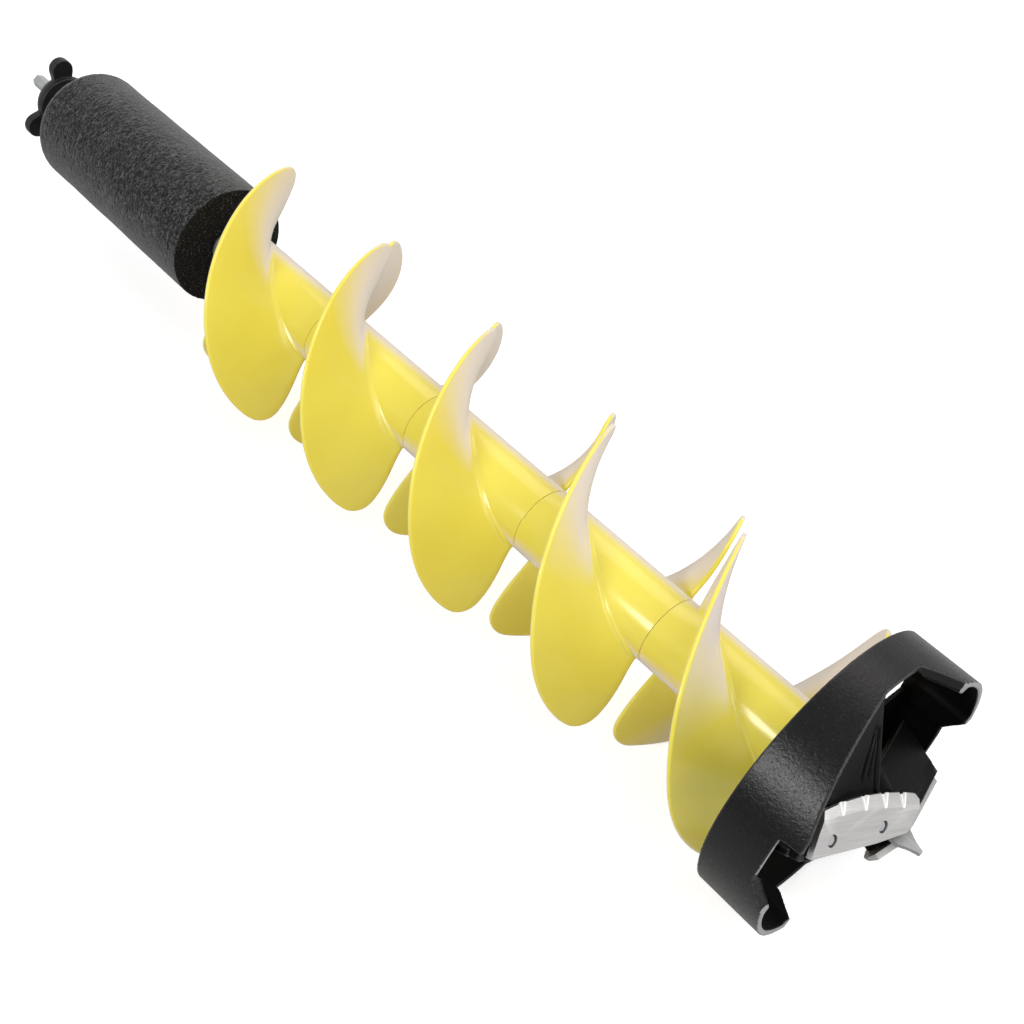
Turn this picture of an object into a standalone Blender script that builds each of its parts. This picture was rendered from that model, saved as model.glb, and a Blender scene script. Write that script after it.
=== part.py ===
"""Ice fishing auger for a cordless drill, lying along +X.

Frame: origin at the centre of the hexagonal drive shank's end face, +X along
the shaft towards the cutting head, +Z up. Metres.
"""

import math

import bmesh
import bpy
from mathutils import Matrix, Vector

MM = 0.001

# ---------------------------------------------------------------- shared dimensions
GAP = 0.3 * MM                        # clearance between neighbouring pieces
REFERENCE = math.radians(118.6)       # the reference radius, from +Y towards +Z

SHAFT_R = 11.0 * MM
SLIDE_R = SHAFT_R + GAP               # bore of the pieces threaded on the shaft
X_SHAFT0, X_SHAFT1 = 44.0 * MM, 1008.0 * MM

HEAD_R = 101.6 * MM                   # the head cuts an 8 inch hole
X_HEAD = 971.3 * MM                   # shank-side edge of the head's skirt
HUB_R = 27.0 * MM

SEGMENTS = 5
PITCH = 125.07 * MM                   # length of one flight segment
X_FLIGHTS = X_HEAD - SEGMENTS * PITCH

DOG_R = 18.0 * MM                     # radius at which the drive dogs sit
SOCKET_WIDTH, SOCKET_DEPTH = 8.2 * MM, 12.0 * MM

BOLT_X = X_HEAD + 17 * MM             # cross bolt through hub and shaft
BOLT_ANGLE = 90                       # degrees from the reference radius
PIN_X = X_HEAD + 53 * MM              # pin through hub nose and centre point
PIN_R = 1.6 * MM

# ---------------------------------------------------------------- the scene
for old in list(bpy.data.objects):
    bpy.data.objects.remove(old, do_unlink=True)

scene = bpy.context.scene
scene.unit_settings.system = "METRIC"
scene.unit_settings.scale_length = 1.0
parts = bpy.data.collections.new("ice_fishing_auger")
cutters = bpy.data.collections.new("cutters")
scene.collection.children.link(parts)
scene.collection.children.link(cutters)


def material(name, colour, roughness, metallic=0.0):
    made = bpy.data.materials.new(name)
    made.use_nodes = True
    shader = made.node_tree.nodes["Principled BSDF"]
    shader.inputs["Base Color"].default_value = (*colour, 1.0)
    shader.inputs["Roughness"].default_value = roughness
    shader.inputs["Metallic"].default_value = metallic
    return made


YELLOW = material("flight_yellow", colour=(0.80, 0.66, 0.08), roughness=0.25)
BLACK = material("moulded_black", colour=(0.015, 0.015, 0.016), roughness=0.38)
KNOB_BLACK = material("knob_black", colour=(0.02, 0.02, 0.02), roughness=0.45)
FOAM = material("foam_charcoal", colour=(0.045, 0.045, 0.047), roughness=0.85)
STEEL = material("shaft_steel", colour=(0.55, 0.56, 0.57), roughness=0.35, metallic=1.0)
BLADE_STEEL = material(
    "blade_stainless", colour=(0.62, 0.62, 0.60), roughness=0.3, metallic=1.0)
ZINC = material("zinc_fastener", colour=(0.60, 0.60, 0.62), roughness=0.3, metallic=1.0)
BRASS = material("ring_brass", colour=(0.70, 0.52, 0.22), roughness=0.3, metallic=1.0)


# ---------------------------------------------------------------- helpers
def smooth_shade(mesh):
    mesh.shade_smooth()
    mesh.set_sharp_from_angle(angle=math.radians(35))


def mesh_object(name, bm, mat=None, smooth=True):
    """A finished piece if it has a material, otherwise a hidden boolean helper."""
    mesh = bpy.data.meshes.new(name)
    bm.to_mesh(mesh)
    bm.free()
    obj = bpy.data.objects.new(name, mesh)
    if mat is None:
        cutters.objects.link(obj)
        obj.hide_render = True
        obj.display_type = "WIRE"
    else:
        parts.objects.link(obj)
        mesh.materials.append(mat)
    if smooth:
        smooth_shade(mesh)
    return obj


def turned(name, profile, mat=None, steps=24, loop=True, origin=0.0, smooth=True):
    """A body turned about the X axis. profile is (x, radius) along the outer
    side from the shank's end to the head's end, then back along the bore."""
    bm = bmesh.new()
    run = [bm.verts.new((radius, 0.0, x - origin)) for x, radius in reversed(profile)]
    pairs = list(zip(run, run[1:])) + ([(run[-1], run[0])] if loop else [])
    for pair in pairs:
        bm.edges.new(pair)
    obj = mesh_object(name, bm, mat, smooth=False)
    obj.location = (origin, 0.0, 0.0)
    obj.rotation_euler = (0.0, math.pi / 2, 0.0)
    screw = obj.modifiers.new("turn", "SCREW")
    screw.axis = "Z"
    screw.angle = math.tau
    screw.steps = screw.render_steps = steps
    screw.use_merge_vertices = True
    screw.merge_threshold = 0.00001
    screw.use_smooth_shade = smooth
    return obj


def ring(name, x0, x1, radius, bore, mat, origin=0.0):
    turned(name, [(x0, radius), (x1, radius), (x1, bore), (x0, bore)], mat, origin=origin)


def rod(name, radius, start, end, mat=None, segments=12, end_radius=None):
    """A straight cylinder or cone between two points."""
    start, end = Vector(start), Vector(end)
    bm = bmesh.new()
    bmesh.ops.create_cone(
        bm, cap_ends=True, cap_tris=False, segments=segments, radius1=radius,
        radius2=radius if end_radius is None else end_radius, depth=(end - start).length,
    )
    obj = mesh_object(name, bm, mat)
    obj.rotation_mode = "QUATERNION"
    obj.rotation_quaternion = (end - start).to_track_quat("Z", "Y")
    obj.location = (start + end) / 2
    return obj


def radial(angle, radius, x):
    """A point at an angle in degrees from the reference radius."""
    a = REFERENCE + math.radians(angle)
    return Vector((x, radius * math.cos(a), radius * math.sin(a)))


def radial_rod(name, radius, angle, x, reach, mat=None, segments=12):
    """A rod square to the shaft; reach holds its ends' distances from the axis."""
    start, end = (radial(angle, distance, x) for distance in reach)
    return rod(name, radius, start, end, mat, segments)


def block(name, size, matrix):
    bm = bmesh.new()
    bmesh.ops.create_cube(bm, size=1.0)
    bmesh.ops.scale(bm, vec=size, verts=bm.verts)
    obj = mesh_object(name, bm, smooth=False)
    obj.matrix_world = matrix
    return obj


def about_x(angle):
    return Matrix.Rotation(angle, 4, "X")


def block_pair(name, size, x, clock=0.0):
    """Two blocks on opposite sides of the shaft, at the drive dogs' radius."""
    return [
        block(
            f"{name}_{k + 1}", size,
            about_x(clock + k * math.pi) @ Matrix.Translation((x, DOG_R, 0)),
        )
        for k in range(2)
    ]


def sheet(name, columns, rows, thickness, place, even=False, smooth=True):
    """A thickened grid; place gives the point for two fractions from 0 to 1."""
    bm = bmesh.new()
    bmesh.ops.create_grid(bm, x_segments=columns, y_segments=rows, size=1.0)
    for v in bm.verts:
        v.co = place((v.co.x + 1) / 2, (v.co.y + 1) / 2)
    obj = mesh_object(name, bm, smooth=smooth)
    thick = obj.modifiers.new("thickness", "SOLIDIFY")
    thick.thickness = thickness
    thick.offset = 0.0
    if even:
        thick.use_even_offset = True
    return obj


def boolean(obj, operation, *others, solver="EXACT"):
    for other in others:
        made = obj.modifiers.new(operation.lower(), "BOOLEAN")
        made.operation = operation
        made.solver = solver
        made.object = other


def half_turn(obj):
    """Turns an object by 180 degrees about the shaft."""
    bpy.context.view_layer.update()
    obj.matrix_world = about_x(math.pi) @ obj.matrix_world


def opposite_copy(helper):
    twin = helper.copy()
    cutters.objects.link(twin)
    half_turn(twin)
    return twin


# ---------------------------------------------------------------- shaft and shank
SHAFT_BORE = 8.5 * MM
COLLET_BORE = 6.7 * MM
COLLET_LEN = 31.0 * MM
COLLET_TAPER = 1.8 * MM
COLLET_SLOT = (44 * MM, 1.4 * MM, 30 * MM)

SHANK_AF = 11.1 * MM                  # 7/16 inch hexagon, across flats
SHANK_LEN = 105.0 * MM
SHANK_CHAMFER = 1.3 * MM
SHANK_FOOT_R, SHANK_FOOT_LEN = 8.2 * MM, 6 * MM


def build_shaft(bolt_hole):
    """Tube with a slotted collet at the shank's end."""
    collet_end = X_SHAFT0 + COLLET_LEN
    shaft = turned(
        "centre_shaft",
        [
            (X_SHAFT0, 10.2 * MM), (X_SHAFT0 + 0.8 * MM, SHAFT_R), (X_SHAFT1, SHAFT_R),
            (X_SHAFT1, SHAFT_BORE), (collet_end, SHAFT_BORE),
            (collet_end - COLLET_TAPER, COLLET_BORE), (X_SHAFT0, COLLET_BORE),
        ],
        STEEL,
    )
    for k in range(2):
        turn = about_x(math.pi / 4 + k * math.pi / 2)
        slot = block(
            f"collet_slot_{k + 1}", COLLET_SLOT, Matrix.Translation((X_SHAFT0, 0, 0)) @ turn)
        boolean(shaft, "DIFFERENCE", slot)
    boolean(shaft, "DIFFERENCE", bolt_hole)


def build_shank():
    """Hexagonal bar with a wider foot inside the shaft."""
    corner = SHANK_AF / 2 / math.cos(math.pi / 6)
    foot = SHANK_LEN - SHANK_FOOT_LEN
    turned(
        "drive_shank",
        [
            (0.0, 0.0), (0.0, corner - SHANK_CHAMFER), (SHANK_CHAMFER, corner),
            (foot, corner), (foot, SHANK_FOOT_R), (SHANK_LEN, SHANK_FOOT_R), (SHANK_LEN, 0.0),
        ],
        STEEL, steps=6, loop=False, smooth=False,
    )


# ---------------------------------------------------------------- clamp knob
KNOB_X0, KNOB_X1 = 33.0 * MM, 56.0 * MM
KNOB_SEAT_X = 37.5 * MM               # where the knob's bore widens to the shaft
KNOB_NOSE_BORE = 7.0 * MM
KNOB_ORIGIN = 47.6 * MM
KNOB_HUB_R = 26.5 * MM
KNOB_CHAMFER = 1.2 * MM
# flare of the hub towards the head: x, radius
KNOB_FLARE = (
    (KNOB_X0, 11.5 * MM), (34.5 * MM, 14.0 * MM), (37 * MM, 16.0 * MM), (42 * MM, 21.5 * MM),
    (46 * MM, 25.5 * MM), (49 * MM, KNOB_HUB_R),
)
WING_TIP_R = 43.3 * MM
WING_HALF = 10.3 * MM                 # half the width of a wing, and its tip's radius
WING_NECK = 0.82                      # neck width as a fraction of the wing's
WING_X0, WING_X1 = 43.5 * MM, 52.0 * MM
WING_ANGLE = math.radians(-40.0)
WING_BORE = 14.6 * MM
# stands an outline drawn in XY in the plane square to the shaft
XY_TO_YZ = Matrix(((0, 0, 1, 0), (1, 0, 0, 0), (0, 1, 0, 0), (0, 0, 0, 1)))

THRUST_RING_BORE = 6.9 * MM
THRUST_RING_ORIGIN = 40.0 * MM


def wing_radius(angle):
    """Outline of three rounded bars out of the hub, slightly narrower at the neck."""
    centre = WING_TIP_R - WING_HALF
    best = KNOB_HUB_R - 2 * MM
    for k in range(3):
        away = abs((angle - k * math.tau / 3 + math.pi) % math.tau - math.pi)
        if away >= math.pi / 2:
            continue
        aside = centre * math.sin(away)
        if aside < WING_HALF:
            best = max(best, centre * math.cos(away) + math.sqrt(WING_HALF**2 - aside**2))
        best = max(best, min(WING_NECK * WING_HALF / max(math.sin(away), 1e-3), centre))
    return best


def knob_wings():
    bm = bmesh.new()
    bmesh.ops.create_cone(
        bm, cap_ends=True, cap_tris=False, segments=90, radius1=1.0, radius2=1.0,
        depth=WING_X1 - WING_X0,
    )
    for v in bm.verts:
        a = math.atan2(v.co.y, v.co.x)
        radius = wing_radius(a)
        v.co.x, v.co.y = radius * math.cos(a), radius * math.sin(a)
    wings = mesh_object("knob_wings", bm)
    wings.matrix_world = (
        Matrix.Translation(((WING_X0 + WING_X1) / 2, 0, 0))
        @ about_x(REFERENCE + WING_ANGLE) @ XY_TO_YZ
    )
    bore = rod(
        "knob_wing_bore", WING_BORE, (KNOB_SEAT_X, 0, 0), (70 * MM, 0, 0), segments=32)
    boolean(wings, "DIFFERENCE", bore)
    return wings


def build_knob():
    """Three-winged clamp knob, with a thrust ring between its seat and the shaft."""
    ring(
        "thrust_ring", KNOB_SEAT_X + GAP, X_SHAFT0 - GAP, SHAFT_R, THRUST_RING_BORE, BRASS,
        origin=THRUST_RING_ORIGIN,
    )
    knob = turned(
        "clamp_knob",
        [
            *KNOB_FLARE, (KNOB_X1 - KNOB_CHAMFER, KNOB_HUB_R),
            (KNOB_X1, KNOB_HUB_R - KNOB_CHAMFER), (KNOB_X1, SLIDE_R), (KNOB_SEAT_X, SLIDE_R),
            (KNOB_SEAT_X, KNOB_NOSE_BORE), (KNOB_X0, KNOB_NOSE_BORE),
        ],
        KNOB_BLACK, steps=32, origin=KNOB_ORIGIN,
    )
    boolean(knob, "UNION", knob_wings())


# ---------------------------------------------------------------- float and its fittings
FOAM_R = 52.6 * MM
FOAM_BORE = SHAFT_R + 0.4 * MM
FOAM_X0, FOAM_X1 = 93.5 * MM, 323.5 * MM
# rounded end towards the shank: mm in from the end, mm in from the side
FOAM_ROUND = ((0, 9.6), (0.8, 6), (2.9, 2.9), (6, 0.8), (9.6, 0))
EDGE = 0.8 * MM                       # chamfer on the float's other end and the collar

WASHER_T = 2.4 * MM
UPPER_WASHER_R, LOWER_WASHER_R = 26.0 * MM, 16.0 * MM
RETAINER_R, RETAINER_T = 14.5 * MM, 1.6 * MM

COLLAR_X0, COLLAR_X1 = FOAM_X1 + WASHER_T + 2 * GAP, 336.5 * MM
COLLAR_R = 15.6 * MM
SET_SCREW_ANGLE = 60
SET_SCREW_R, SET_SCREW_HOLE_R = 2.4 * MM, 2.8 * MM


def build_float():
    turned(
        "foam_float",
        [
            *((FOAM_X0 + x * MM, FOAM_R - inset * MM) for x, inset in FOAM_ROUND),
            (FOAM_X1 - EDGE, FOAM_R), (FOAM_X1, FOAM_R - EDGE),
            (FOAM_X1, FOAM_BORE), (FOAM_X0, FOAM_BORE),
        ],
        FOAM, steps=36,
    )
    washer_x1 = FOAM_X0 - GAP
    retainer_x1 = washer_x1 - WASHER_T - GAP
    for name, x0, x1, radius in (
        ("float_retaining_ring", retainer_x1 - RETAINER_T, retainer_x1, RETAINER_R),
        ("upper_float_washer", washer_x1 - WASHER_T, washer_x1, UPPER_WASHER_R),
        ("lower_float_washer", FOAM_X1 + GAP, FOAM_X1 + GAP + WASHER_T, LOWER_WASHER_R),
    ):
        ring(name, x0, x1, radius, SLIDE_R, ZINC)


def build_collar():
    """Stop collar with its set screw."""
    collar = turned(
        "stop_collar",
        [
            (COLLAR_X0, COLLAR_R - EDGE), (COLLAR_X0 + EDGE, COLLAR_R),
            (COLLAR_X1 - EDGE, COLLAR_R), (COLLAR_X1, COLLAR_R - EDGE),
            (COLLAR_X1, SLIDE_R), (COLLAR_X0, SLIDE_R),
        ],
        ZINC,
    )
    middle = (COLLAR_X0 + COLLAR_X1) / 2
    boolean(collar, "DIFFERENCE", radial_rod(
        "set_screw_hole", SET_SCREW_HOLE_R, SET_SCREW_ANGLE, middle, (5 * MM, 30 * MM)))
    radial_rod(
        "collar_set_screw", SET_SCREW_R, SET_SCREW_ANGLE, middle,
        (SHAFT_R + 0.5 * MM, COLLAR_R - 0.8 * MM), ZINC,
    )


# ---------------------------------------------------------------- flight segments
CAP_LUG_ANGLE = -38
CAP_LUG_SIZE = (7 * MM, 11 * MM, 6 * MM)

TUBE_R = 27.25 * MM
TUBE_WALL = 3.0 * MM
TUBE_CHAMFER = 0.5 * MM
TUBE_END_WALL = 4 * MM
HALF = PITCH / 2 - GAP / 2            # half the length of a segment's tube
DOG_SIZE = (9 * MM, 7.4 * MM, 11 * MM)

FLIGHT_R = 93.2 * MM
FLIGHT_T = 3.6 * MM
FLIGHT_RAKE = 6.2 * MM                # the outer edge leans this far towards the shank
# how far a vane reaches to each side of its middle: radius in millimetres, and
# degrees at the end towards the shank and at the end towards the head
VANE_ENDS = (
    (25.6, 77.5, 84.0), (34.0, 77.3, 89.0), (48.0, 77.1, 95.5), (62.0, 76.3, 99.4),
    (73.0, 75.1, 100.8), (80.0, 73.4, 100.7), (85.5, 70.7, 99.4), (89.5, 67.4, 96.9),
    (92.0, 63.2, 92.8), (93.2, 59.0, 85.5),
)
# the end towards the head is bent back towards the shank
VANE_BEND = 8.0 * MM
BEND_START, BEND_SPAN = 30.0, 70.0    # degrees from the vane's middle


def vane_point(along, outward):
    """A point of one helical vane over the reference radius."""
    radius, back, fore = VANE_ENDS[round(outward * (len(VANE_ENDS) - 1))]
    radius *= MM
    rise = (radius - TUBE_R) / (FLIGHT_R - TUBE_R)
    a = math.radians(-back + (back + fore) * along)
    lead = 2 * PITCH / math.tau
    ease = min(1.0, max(0.0, (math.degrees(a) - BEND_START) / BEND_SPAN))
    bend = VANE_BEND * ease * ease * (3 - 2 * ease) * math.sqrt(max(0.0, rise))
    return a * lead - FLIGHT_RAKE * rise - bend, radius * math.cos(a), radius * math.sin(a)


def build_end_cap():
    """Cap between the stop collar and the first flight segment."""
    x0, x1 = COLLAR_X1 + GAP, X_FLIGHTS - GAP
    cap = turned(
        "flight_end_cap",
        [
            (x0, 20.5 * MM), (COLLAR_X1 + 1.8 * MM, 22.0 * MM), (x1, 23.5 * MM),
            (x1, SLIDE_R), (x0, SLIDE_R),
        ],
        YELLOW,
    )
    lug = block(
        "cap_lug", CAP_LUG_SIZE,
        Matrix.Translation(radial(CAP_LUG_ANGLE, 24.2 * MM, X_FLIGHTS - 4.2 * MM))
        @ about_x(REFERENCE + math.radians(CAP_LUG_ANGLE + 90)),
    )
    boolean(cap, "UNION", lug)


def segment_mesh():
    """A tube with two opposite vanes, dogs at one end and sockets at the other."""
    first = turned(
        "flight_segment_1",
        [
            (-HALF, TUBE_R - TUBE_CHAMFER), (-HALF + TUBE_CHAMFER, TUBE_R),
            (HALF - TUBE_CHAMFER, TUBE_R), (HALF, TUBE_R - TUBE_CHAMFER),
            (HALF, SLIDE_R), (HALF - TUBE_END_WALL, SLIDE_R),
            (HALF - TUBE_END_WALL, TUBE_R - TUBE_WALL),
            (TUBE_END_WALL - HALF, TUBE_R - TUBE_WALL),
            (TUBE_END_WALL - HALF, SLIDE_R), (-HALF, SLIDE_R),
        ],
        YELLOW, steps=28,
    )
    vanes = []
    for k in range(2):
        vane = sheet(
            f"flight_vane_{k + 1}", 15, len(VANE_ENDS) - 1, FLIGHT_T, vane_point, even=True)
        vane.rotation_euler = (k * math.pi, 0.0, 0.0)
        vanes.append(vane)
    dogs = block_pair("drive_dog", DOG_SIZE, HALF - 0.5 * MM)
    sockets = block_pair("dog_socket", (12 * MM, SOCKET_WIDTH, SOCKET_DEPTH), -HALF)
    boolean(first, "UNION", *vanes, *dogs)
    boolean(first, "DIFFERENCE", *sockets)

    bpy.context.view_layer.update()
    graph = bpy.context.evaluated_depsgraph_get()
    mesh = bpy.data.meshes.new_from_object(first.evaluated_get(graph))
    mesh.name = "flight_segment"
    mesh.transform(first.matrix_world)
    for helper in (first, *vanes, *dogs, *sockets):
        bpy.data.objects.remove(helper, do_unlink=True)
    smooth_shade(mesh)
    return mesh


def build_flights():
    mesh = segment_mesh()
    for k in range(SEGMENTS):
        obj = bpy.data.objects.new(f"flight_segment_{k + 1}", mesh)
        obj.location = (X_FLIGHTS + (k + 0.5) * PITCH, 0.0, 0.0)
        obj.rotation_euler = (REFERENCE, 0.0, 0.0)
        parts.objects.link(obj)


# ---------------------------------------------------------------- blade frame
# origin at the heel's outer corner, x inwards along the blade, y across it
# towards the toothed edge, z out of its bevelled face, away from the shank
BLADE_O = Vector((1022.1, -77.9, 57.1)) * MM
BLADE_X = Vector((0.2494, 0.8152, -0.5227)).normalized()
BLADE_Z = Vector((0.8796, 0.0351, 0.4744))
BLADE_Z = (BLADE_Z - BLADE_X * BLADE_Z.dot(BLADE_X)).normalized()
BLADE_Y = BLADE_Z.cross(BLADE_X)
BLADE_FRAME = (
    Matrix.Translation(BLADE_O) @ Matrix((BLADE_X, BLADE_Y, BLADE_Z)).transposed().to_4x4()
)

BLADE_T = 4.0 * MM
BLADE_HOLES = ((23.5 * MM, 3.2 * MM), (69.5 * MM, 7.2 * MM))
PAD_BACK = -12.4 * MM                 # z of the pad's side away from the blade


def plate(name, outline, z0, z1, mat=None):
    """A flat plate in the blade frame, from an outline in millimetres."""
    curve = bpy.data.curves.new(name, "CURVE")
    curve.dimensions = "2D"
    curve.fill_mode = "BOTH"
    curve.extrude = (z1 - z0) / 2
    spline = curve.splines.new("POLY")
    spline.points.add(len(outline) - 1)
    for point, (x, y) in zip(spline.points, outline):
        point.co = (x * MM, y * MM, 0.0, 1.0)
    spline.use_cyclic_u = True
    guide = bpy.data.objects.new(name + "_outline", curve)
    cutters.objects.link(guide)
    bpy.context.view_layer.update()
    graph = bpy.context.evaluated_depsgraph_get()
    mesh = bpy.data.meshes.new_from_object(guide.evaluated_get(graph))
    bpy.data.objects.remove(guide, do_unlink=True)
    bm = bmesh.new()
    bm.from_mesh(mesh)
    bpy.data.meshes.remove(mesh)
    bmesh.ops.remove_doubles(bm, verts=bm.verts, dist=0.00001)
    bmesh.ops.recalc_face_normals(bm, faces=bm.faces)
    bmesh.ops.translate(bm, vec=(0, 0, (z0 + z1) / 2), verts=bm.verts)
    obj = mesh_object(name, bm, mat, smooth=False)
    obj.matrix_world = BLADE_FRAME
    return obj


def blade_rod(name, radius, place, z0, z1, mat=None, segments=12):
    """A rod square to the blade at an (x, y) place in its frame."""
    start, end = (BLADE_FRAME @ Vector((*place, z)) for z in (z0, z1))
    return rod(name, radius, start, end, mat, segments)


def rods_at_holes(name, radius, z0, z1, segments):
    return [
        blade_rod(f"{name}_{k + 1}", radius, place, z0, z1, segments=segments)
        for k, place in enumerate(BLADE_HOLES)
    ]


# ---------------------------------------------------------------- cutting head
SKIRT_WALL = 4.0 * MM
LEG_WALL = 7.5 * MM
# head-side edge of the skirt over half a turn: degrees from the reference
# radius, and distance from the shank-side edge in millimetres
SKIRT_EDGE = (
    (-54.0, 26.7), (-34.0, 26.7), (9.0, 45.2), (21.0, 51.0), (26.0, 51.5),
    (26.9, 37.0), (48.0, 36.6), (59.0, 49.6), (114.0, 49.6), (126.0, 26.7),
)
# angles of the skirt's vertices over half a turn, in degrees
SKIRT_STOPS = (
    -54, -44, -34, -26, -18, -9, 0, 9, 15, 21, 26, 26.9, 37, 48, 51, 55, 59,
    67, 76, 86.5, 97, 106, 114, 120,
)
# thickened strips of wall: middle angles, half width and fade, in degrees
STRIP_ANGLES = (55.0, 118.0)
STRIP_HALF, STRIP_FADE = 6.0, 4.0

STEM_R = 5.1 * MM                     # stem of the centre point
HUB_NOSE_X, HUB_NOSE_R = X_HEAD + 65 * MM, 12.5 * MM
HUB_SHAFT_END = X_HEAD + 40 * MM      # where the hub's bore narrows to the stem

# outline of the pad in the blade frame: x, y in millimetres
PAD_OUTLINE = (
    (-6, -9), (-4, 10), (4, 18), (12.5, 19.8), (34, 23.6), (60, 25.2),
    (84, 23.6), (93, 21.6), (96, 14), (91, 2), (64, -6),
)
SPOKE_SIZE = (78 * MM, 5 * MM, 34 * MM)
SPOKE_CENTRE = (38 * MM, -5.4 * MM, -27 * MM)

RAMP_T = 4.0 * MM
RAMP_START = -35.5                    # degrees from the reference radius
RAMP_SWEEP = 47.5                     # degrees turned by the ramp's outer edge
RAMP_SKIRT_SWEEP = 44.5               # degrees of skirt edge whose depth it follows
SHELF_T = 3.0 * MM


def within_half_turn(angle):
    """The same angle on the half turn that SKIRT_EDGE covers."""
    return (angle + 54.0) % 180.0 - 54.0


def skirt_depth(angle):
    a = within_half_turn(angle)
    for (a0, d0), (a1, d1) in zip(SKIRT_EDGE, SKIRT_EDGE[1:]):
        if a <= a1:
            return (d0 + (d1 - d0) * (a - a0) / (a1 - a0)) * MM


def thickening(angle):
    """0 on the plain wall, 1 on the thickened strips."""
    a = within_half_turn(angle)
    away = min(abs(a - middle) for middle in STRIP_ANGLES)
    return max(0.0, 1 - max(0.0, away - STRIP_HALF) / STRIP_FADE)


def skirt():
    """The skirt's outer surface, thickened inwards by a weighted solidify."""
    stops = [a + 180 * k for k in range(2) for a in SKIRT_STOPS]
    count = len(stops)
    thinnest = SKIRT_WALL / LEG_WALL
    bm = bmesh.new()
    bmesh.ops.create_cone(
        bm, cap_ends=False, segments=count, radius1=1.0, radius2=1.0, depth=2.0)
    weights = bm.verts.layers.deform.verify()
    for v in bm.verts:
        stop = stops[round(math.atan2(v.co.y, v.co.x) / math.tau * count) % count]
        depth = skirt_depth(stop) if v.co.z < 0 else 0.0
        v.co = radial(stop, HEAD_R, X_HEAD + depth)
        v[weights][0] = thinnest + (1 - thinnest) * thickening(stop)
    bmesh.ops.recalc_face_normals(bm, faces=bm.faces)
    # an open ring has no inside, so its normals may have come out inwards
    face = next(iter(bm.faces))
    centre = face.calc_center_median()
    if face.normal.dot(Vector((0, centre.y, centre.z))) < 0:
        bmesh.ops.reverse_faces(bm, faces=bm.faces)
    head = mesh_object("cutting_head", bm, BLACK)
    head.vertex_groups.new(name="wall")
    wall = head.modifiers.new("wall", "SOLIDIFY")
    wall.thickness = LEG_WALL
    wall.offset = -1.0
    wall.use_even_offset = False
    wall.vertex_group = "wall"
    return head


def head_hub():
    stem_bore = STEM_R + GAP
    hub = turned(
        "head_hub",
        [
            (X_HEAD + GAP, HUB_R), (X_HEAD + 30 * MM, HUB_R), (HUB_NOSE_X, HUB_NOSE_R),
            (HUB_NOSE_X, stem_bore), (HUB_SHAFT_END, stem_bore), (HUB_SHAFT_END, SLIDE_R),
            (X_HEAD + GAP, SLIDE_R),
        ],
        steps=28,
    )
    size = (13 * MM, SOCKET_WIDTH, SOCKET_DEPTH)
    boolean(hub, "DIFFERENCE", *block_pair("hub_dog_socket", size, X_HEAD, REFERENCE))
    return hub


def ramp_point(along, inward):
    """The chip ramp starts narrow at the skirt and widens towards the blade."""
    outer = radial(
        RAMP_START + along * RAMP_SWEEP, 0.972 * HEAD_R,
        X_HEAD + skirt_depth(RAMP_START + along * RAMP_SKIRT_SWEEP)
        - (2.4 + 3.4 * along**2) * MM,
    )
    start = radial(RAMP_START, 0.90 * HEAD_R, X_HEAD + 24.2 * MM)
    inner_end = BLADE_FRAME @ Vector((70 * MM, 18 * MM, -8 * MM))
    point = outer.lerp(start.lerp(inner_end, along), inward)
    point.x -= 4 * MM * math.sin(math.pi * inward) * along**2
    return point


def shelf_point(along, outward):
    """A narrow shelf inside the skirt's shank-side edge."""
    return radial(-165.0 + 36.0 * along, (70.0 + 29.0 * outward) * MM, X_HEAD + 2.2 * MM)


def build_head(bolt_hole, pin_hole):
    """Skirt, hub and, twice around the shaft, a pad, spoke, ramp and shelf."""
    head = skirt()
    hub = head_hub()
    pad = plate("blade_pad", PAD_OUTLINE, PAD_BACK, -BLADE_T - GAP)
    spoke = block("spoke", SPOKE_SIZE, BLADE_FRAME @ Matrix.Translation(SPOKE_CENTRE))
    ramp = sheet("chip_ramp", 8, 2, RAMP_T, ramp_point)
    shelf = sheet("skirt_shelf", 9, 1, SHELF_T, shelf_point)
    boolean(head, "UNION", hub, pad, spoke)
    boolean(head, "UNION", ramp, shelf, solver="MANIFOLD")
    for source in (pad, spoke, ramp, shelf):
        twin = opposite_copy(source)
        twin.name = source.name + "_opposite"
        boolean(head, "UNION", twin, solver="MANIFOLD")
    boolean(head, "DIFFERENCE", bolt_hole)

    pad_holes = rods_at_holes("pad_hole", 3.4 * MM, -24 * MM, 0, segments=16)
    pockets = rods_at_holes("screw_pocket", 7.0 * MM, -24 * MM, PAD_BACK, segments=12)
    for cutter in (*pad_holes, *pockets):
        boolean(head, "DIFFERENCE", cutter, opposite_copy(cutter))
    boolean(head, "DIFFERENCE", pin_hole)


# ---------------------------------------------------------------- blades
# outline in the blade frame: x, y in millimetres
BLADE_OUTLINE = (
    (7.4, -6.4), (10.6, 9.5), (13.4, 21.4), (27.0, 24.4), (46.0, 26.4), (65.0, 27.2),
    (84.0, 26.8), (97.0, 25.0), (103.0, 21.5), (102.6, 15.0), (94.8, 1.2), (65.0, -2.6),
)
BEVEL_FROM, BEVEL_TO = 16.5 * MM, 26.5 * MM
BEVEL_DROP = 3.2 * MM
GASHES_X = (28.4 * MM, 48.9 * MM, 67.6 * MM, 85.8 * MM)
SCREW_R, SCREW_HEAD_R, SCREW_HEAD_T = 3.0 * MM, 5.6 * MM, 4.0 * MM


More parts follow.
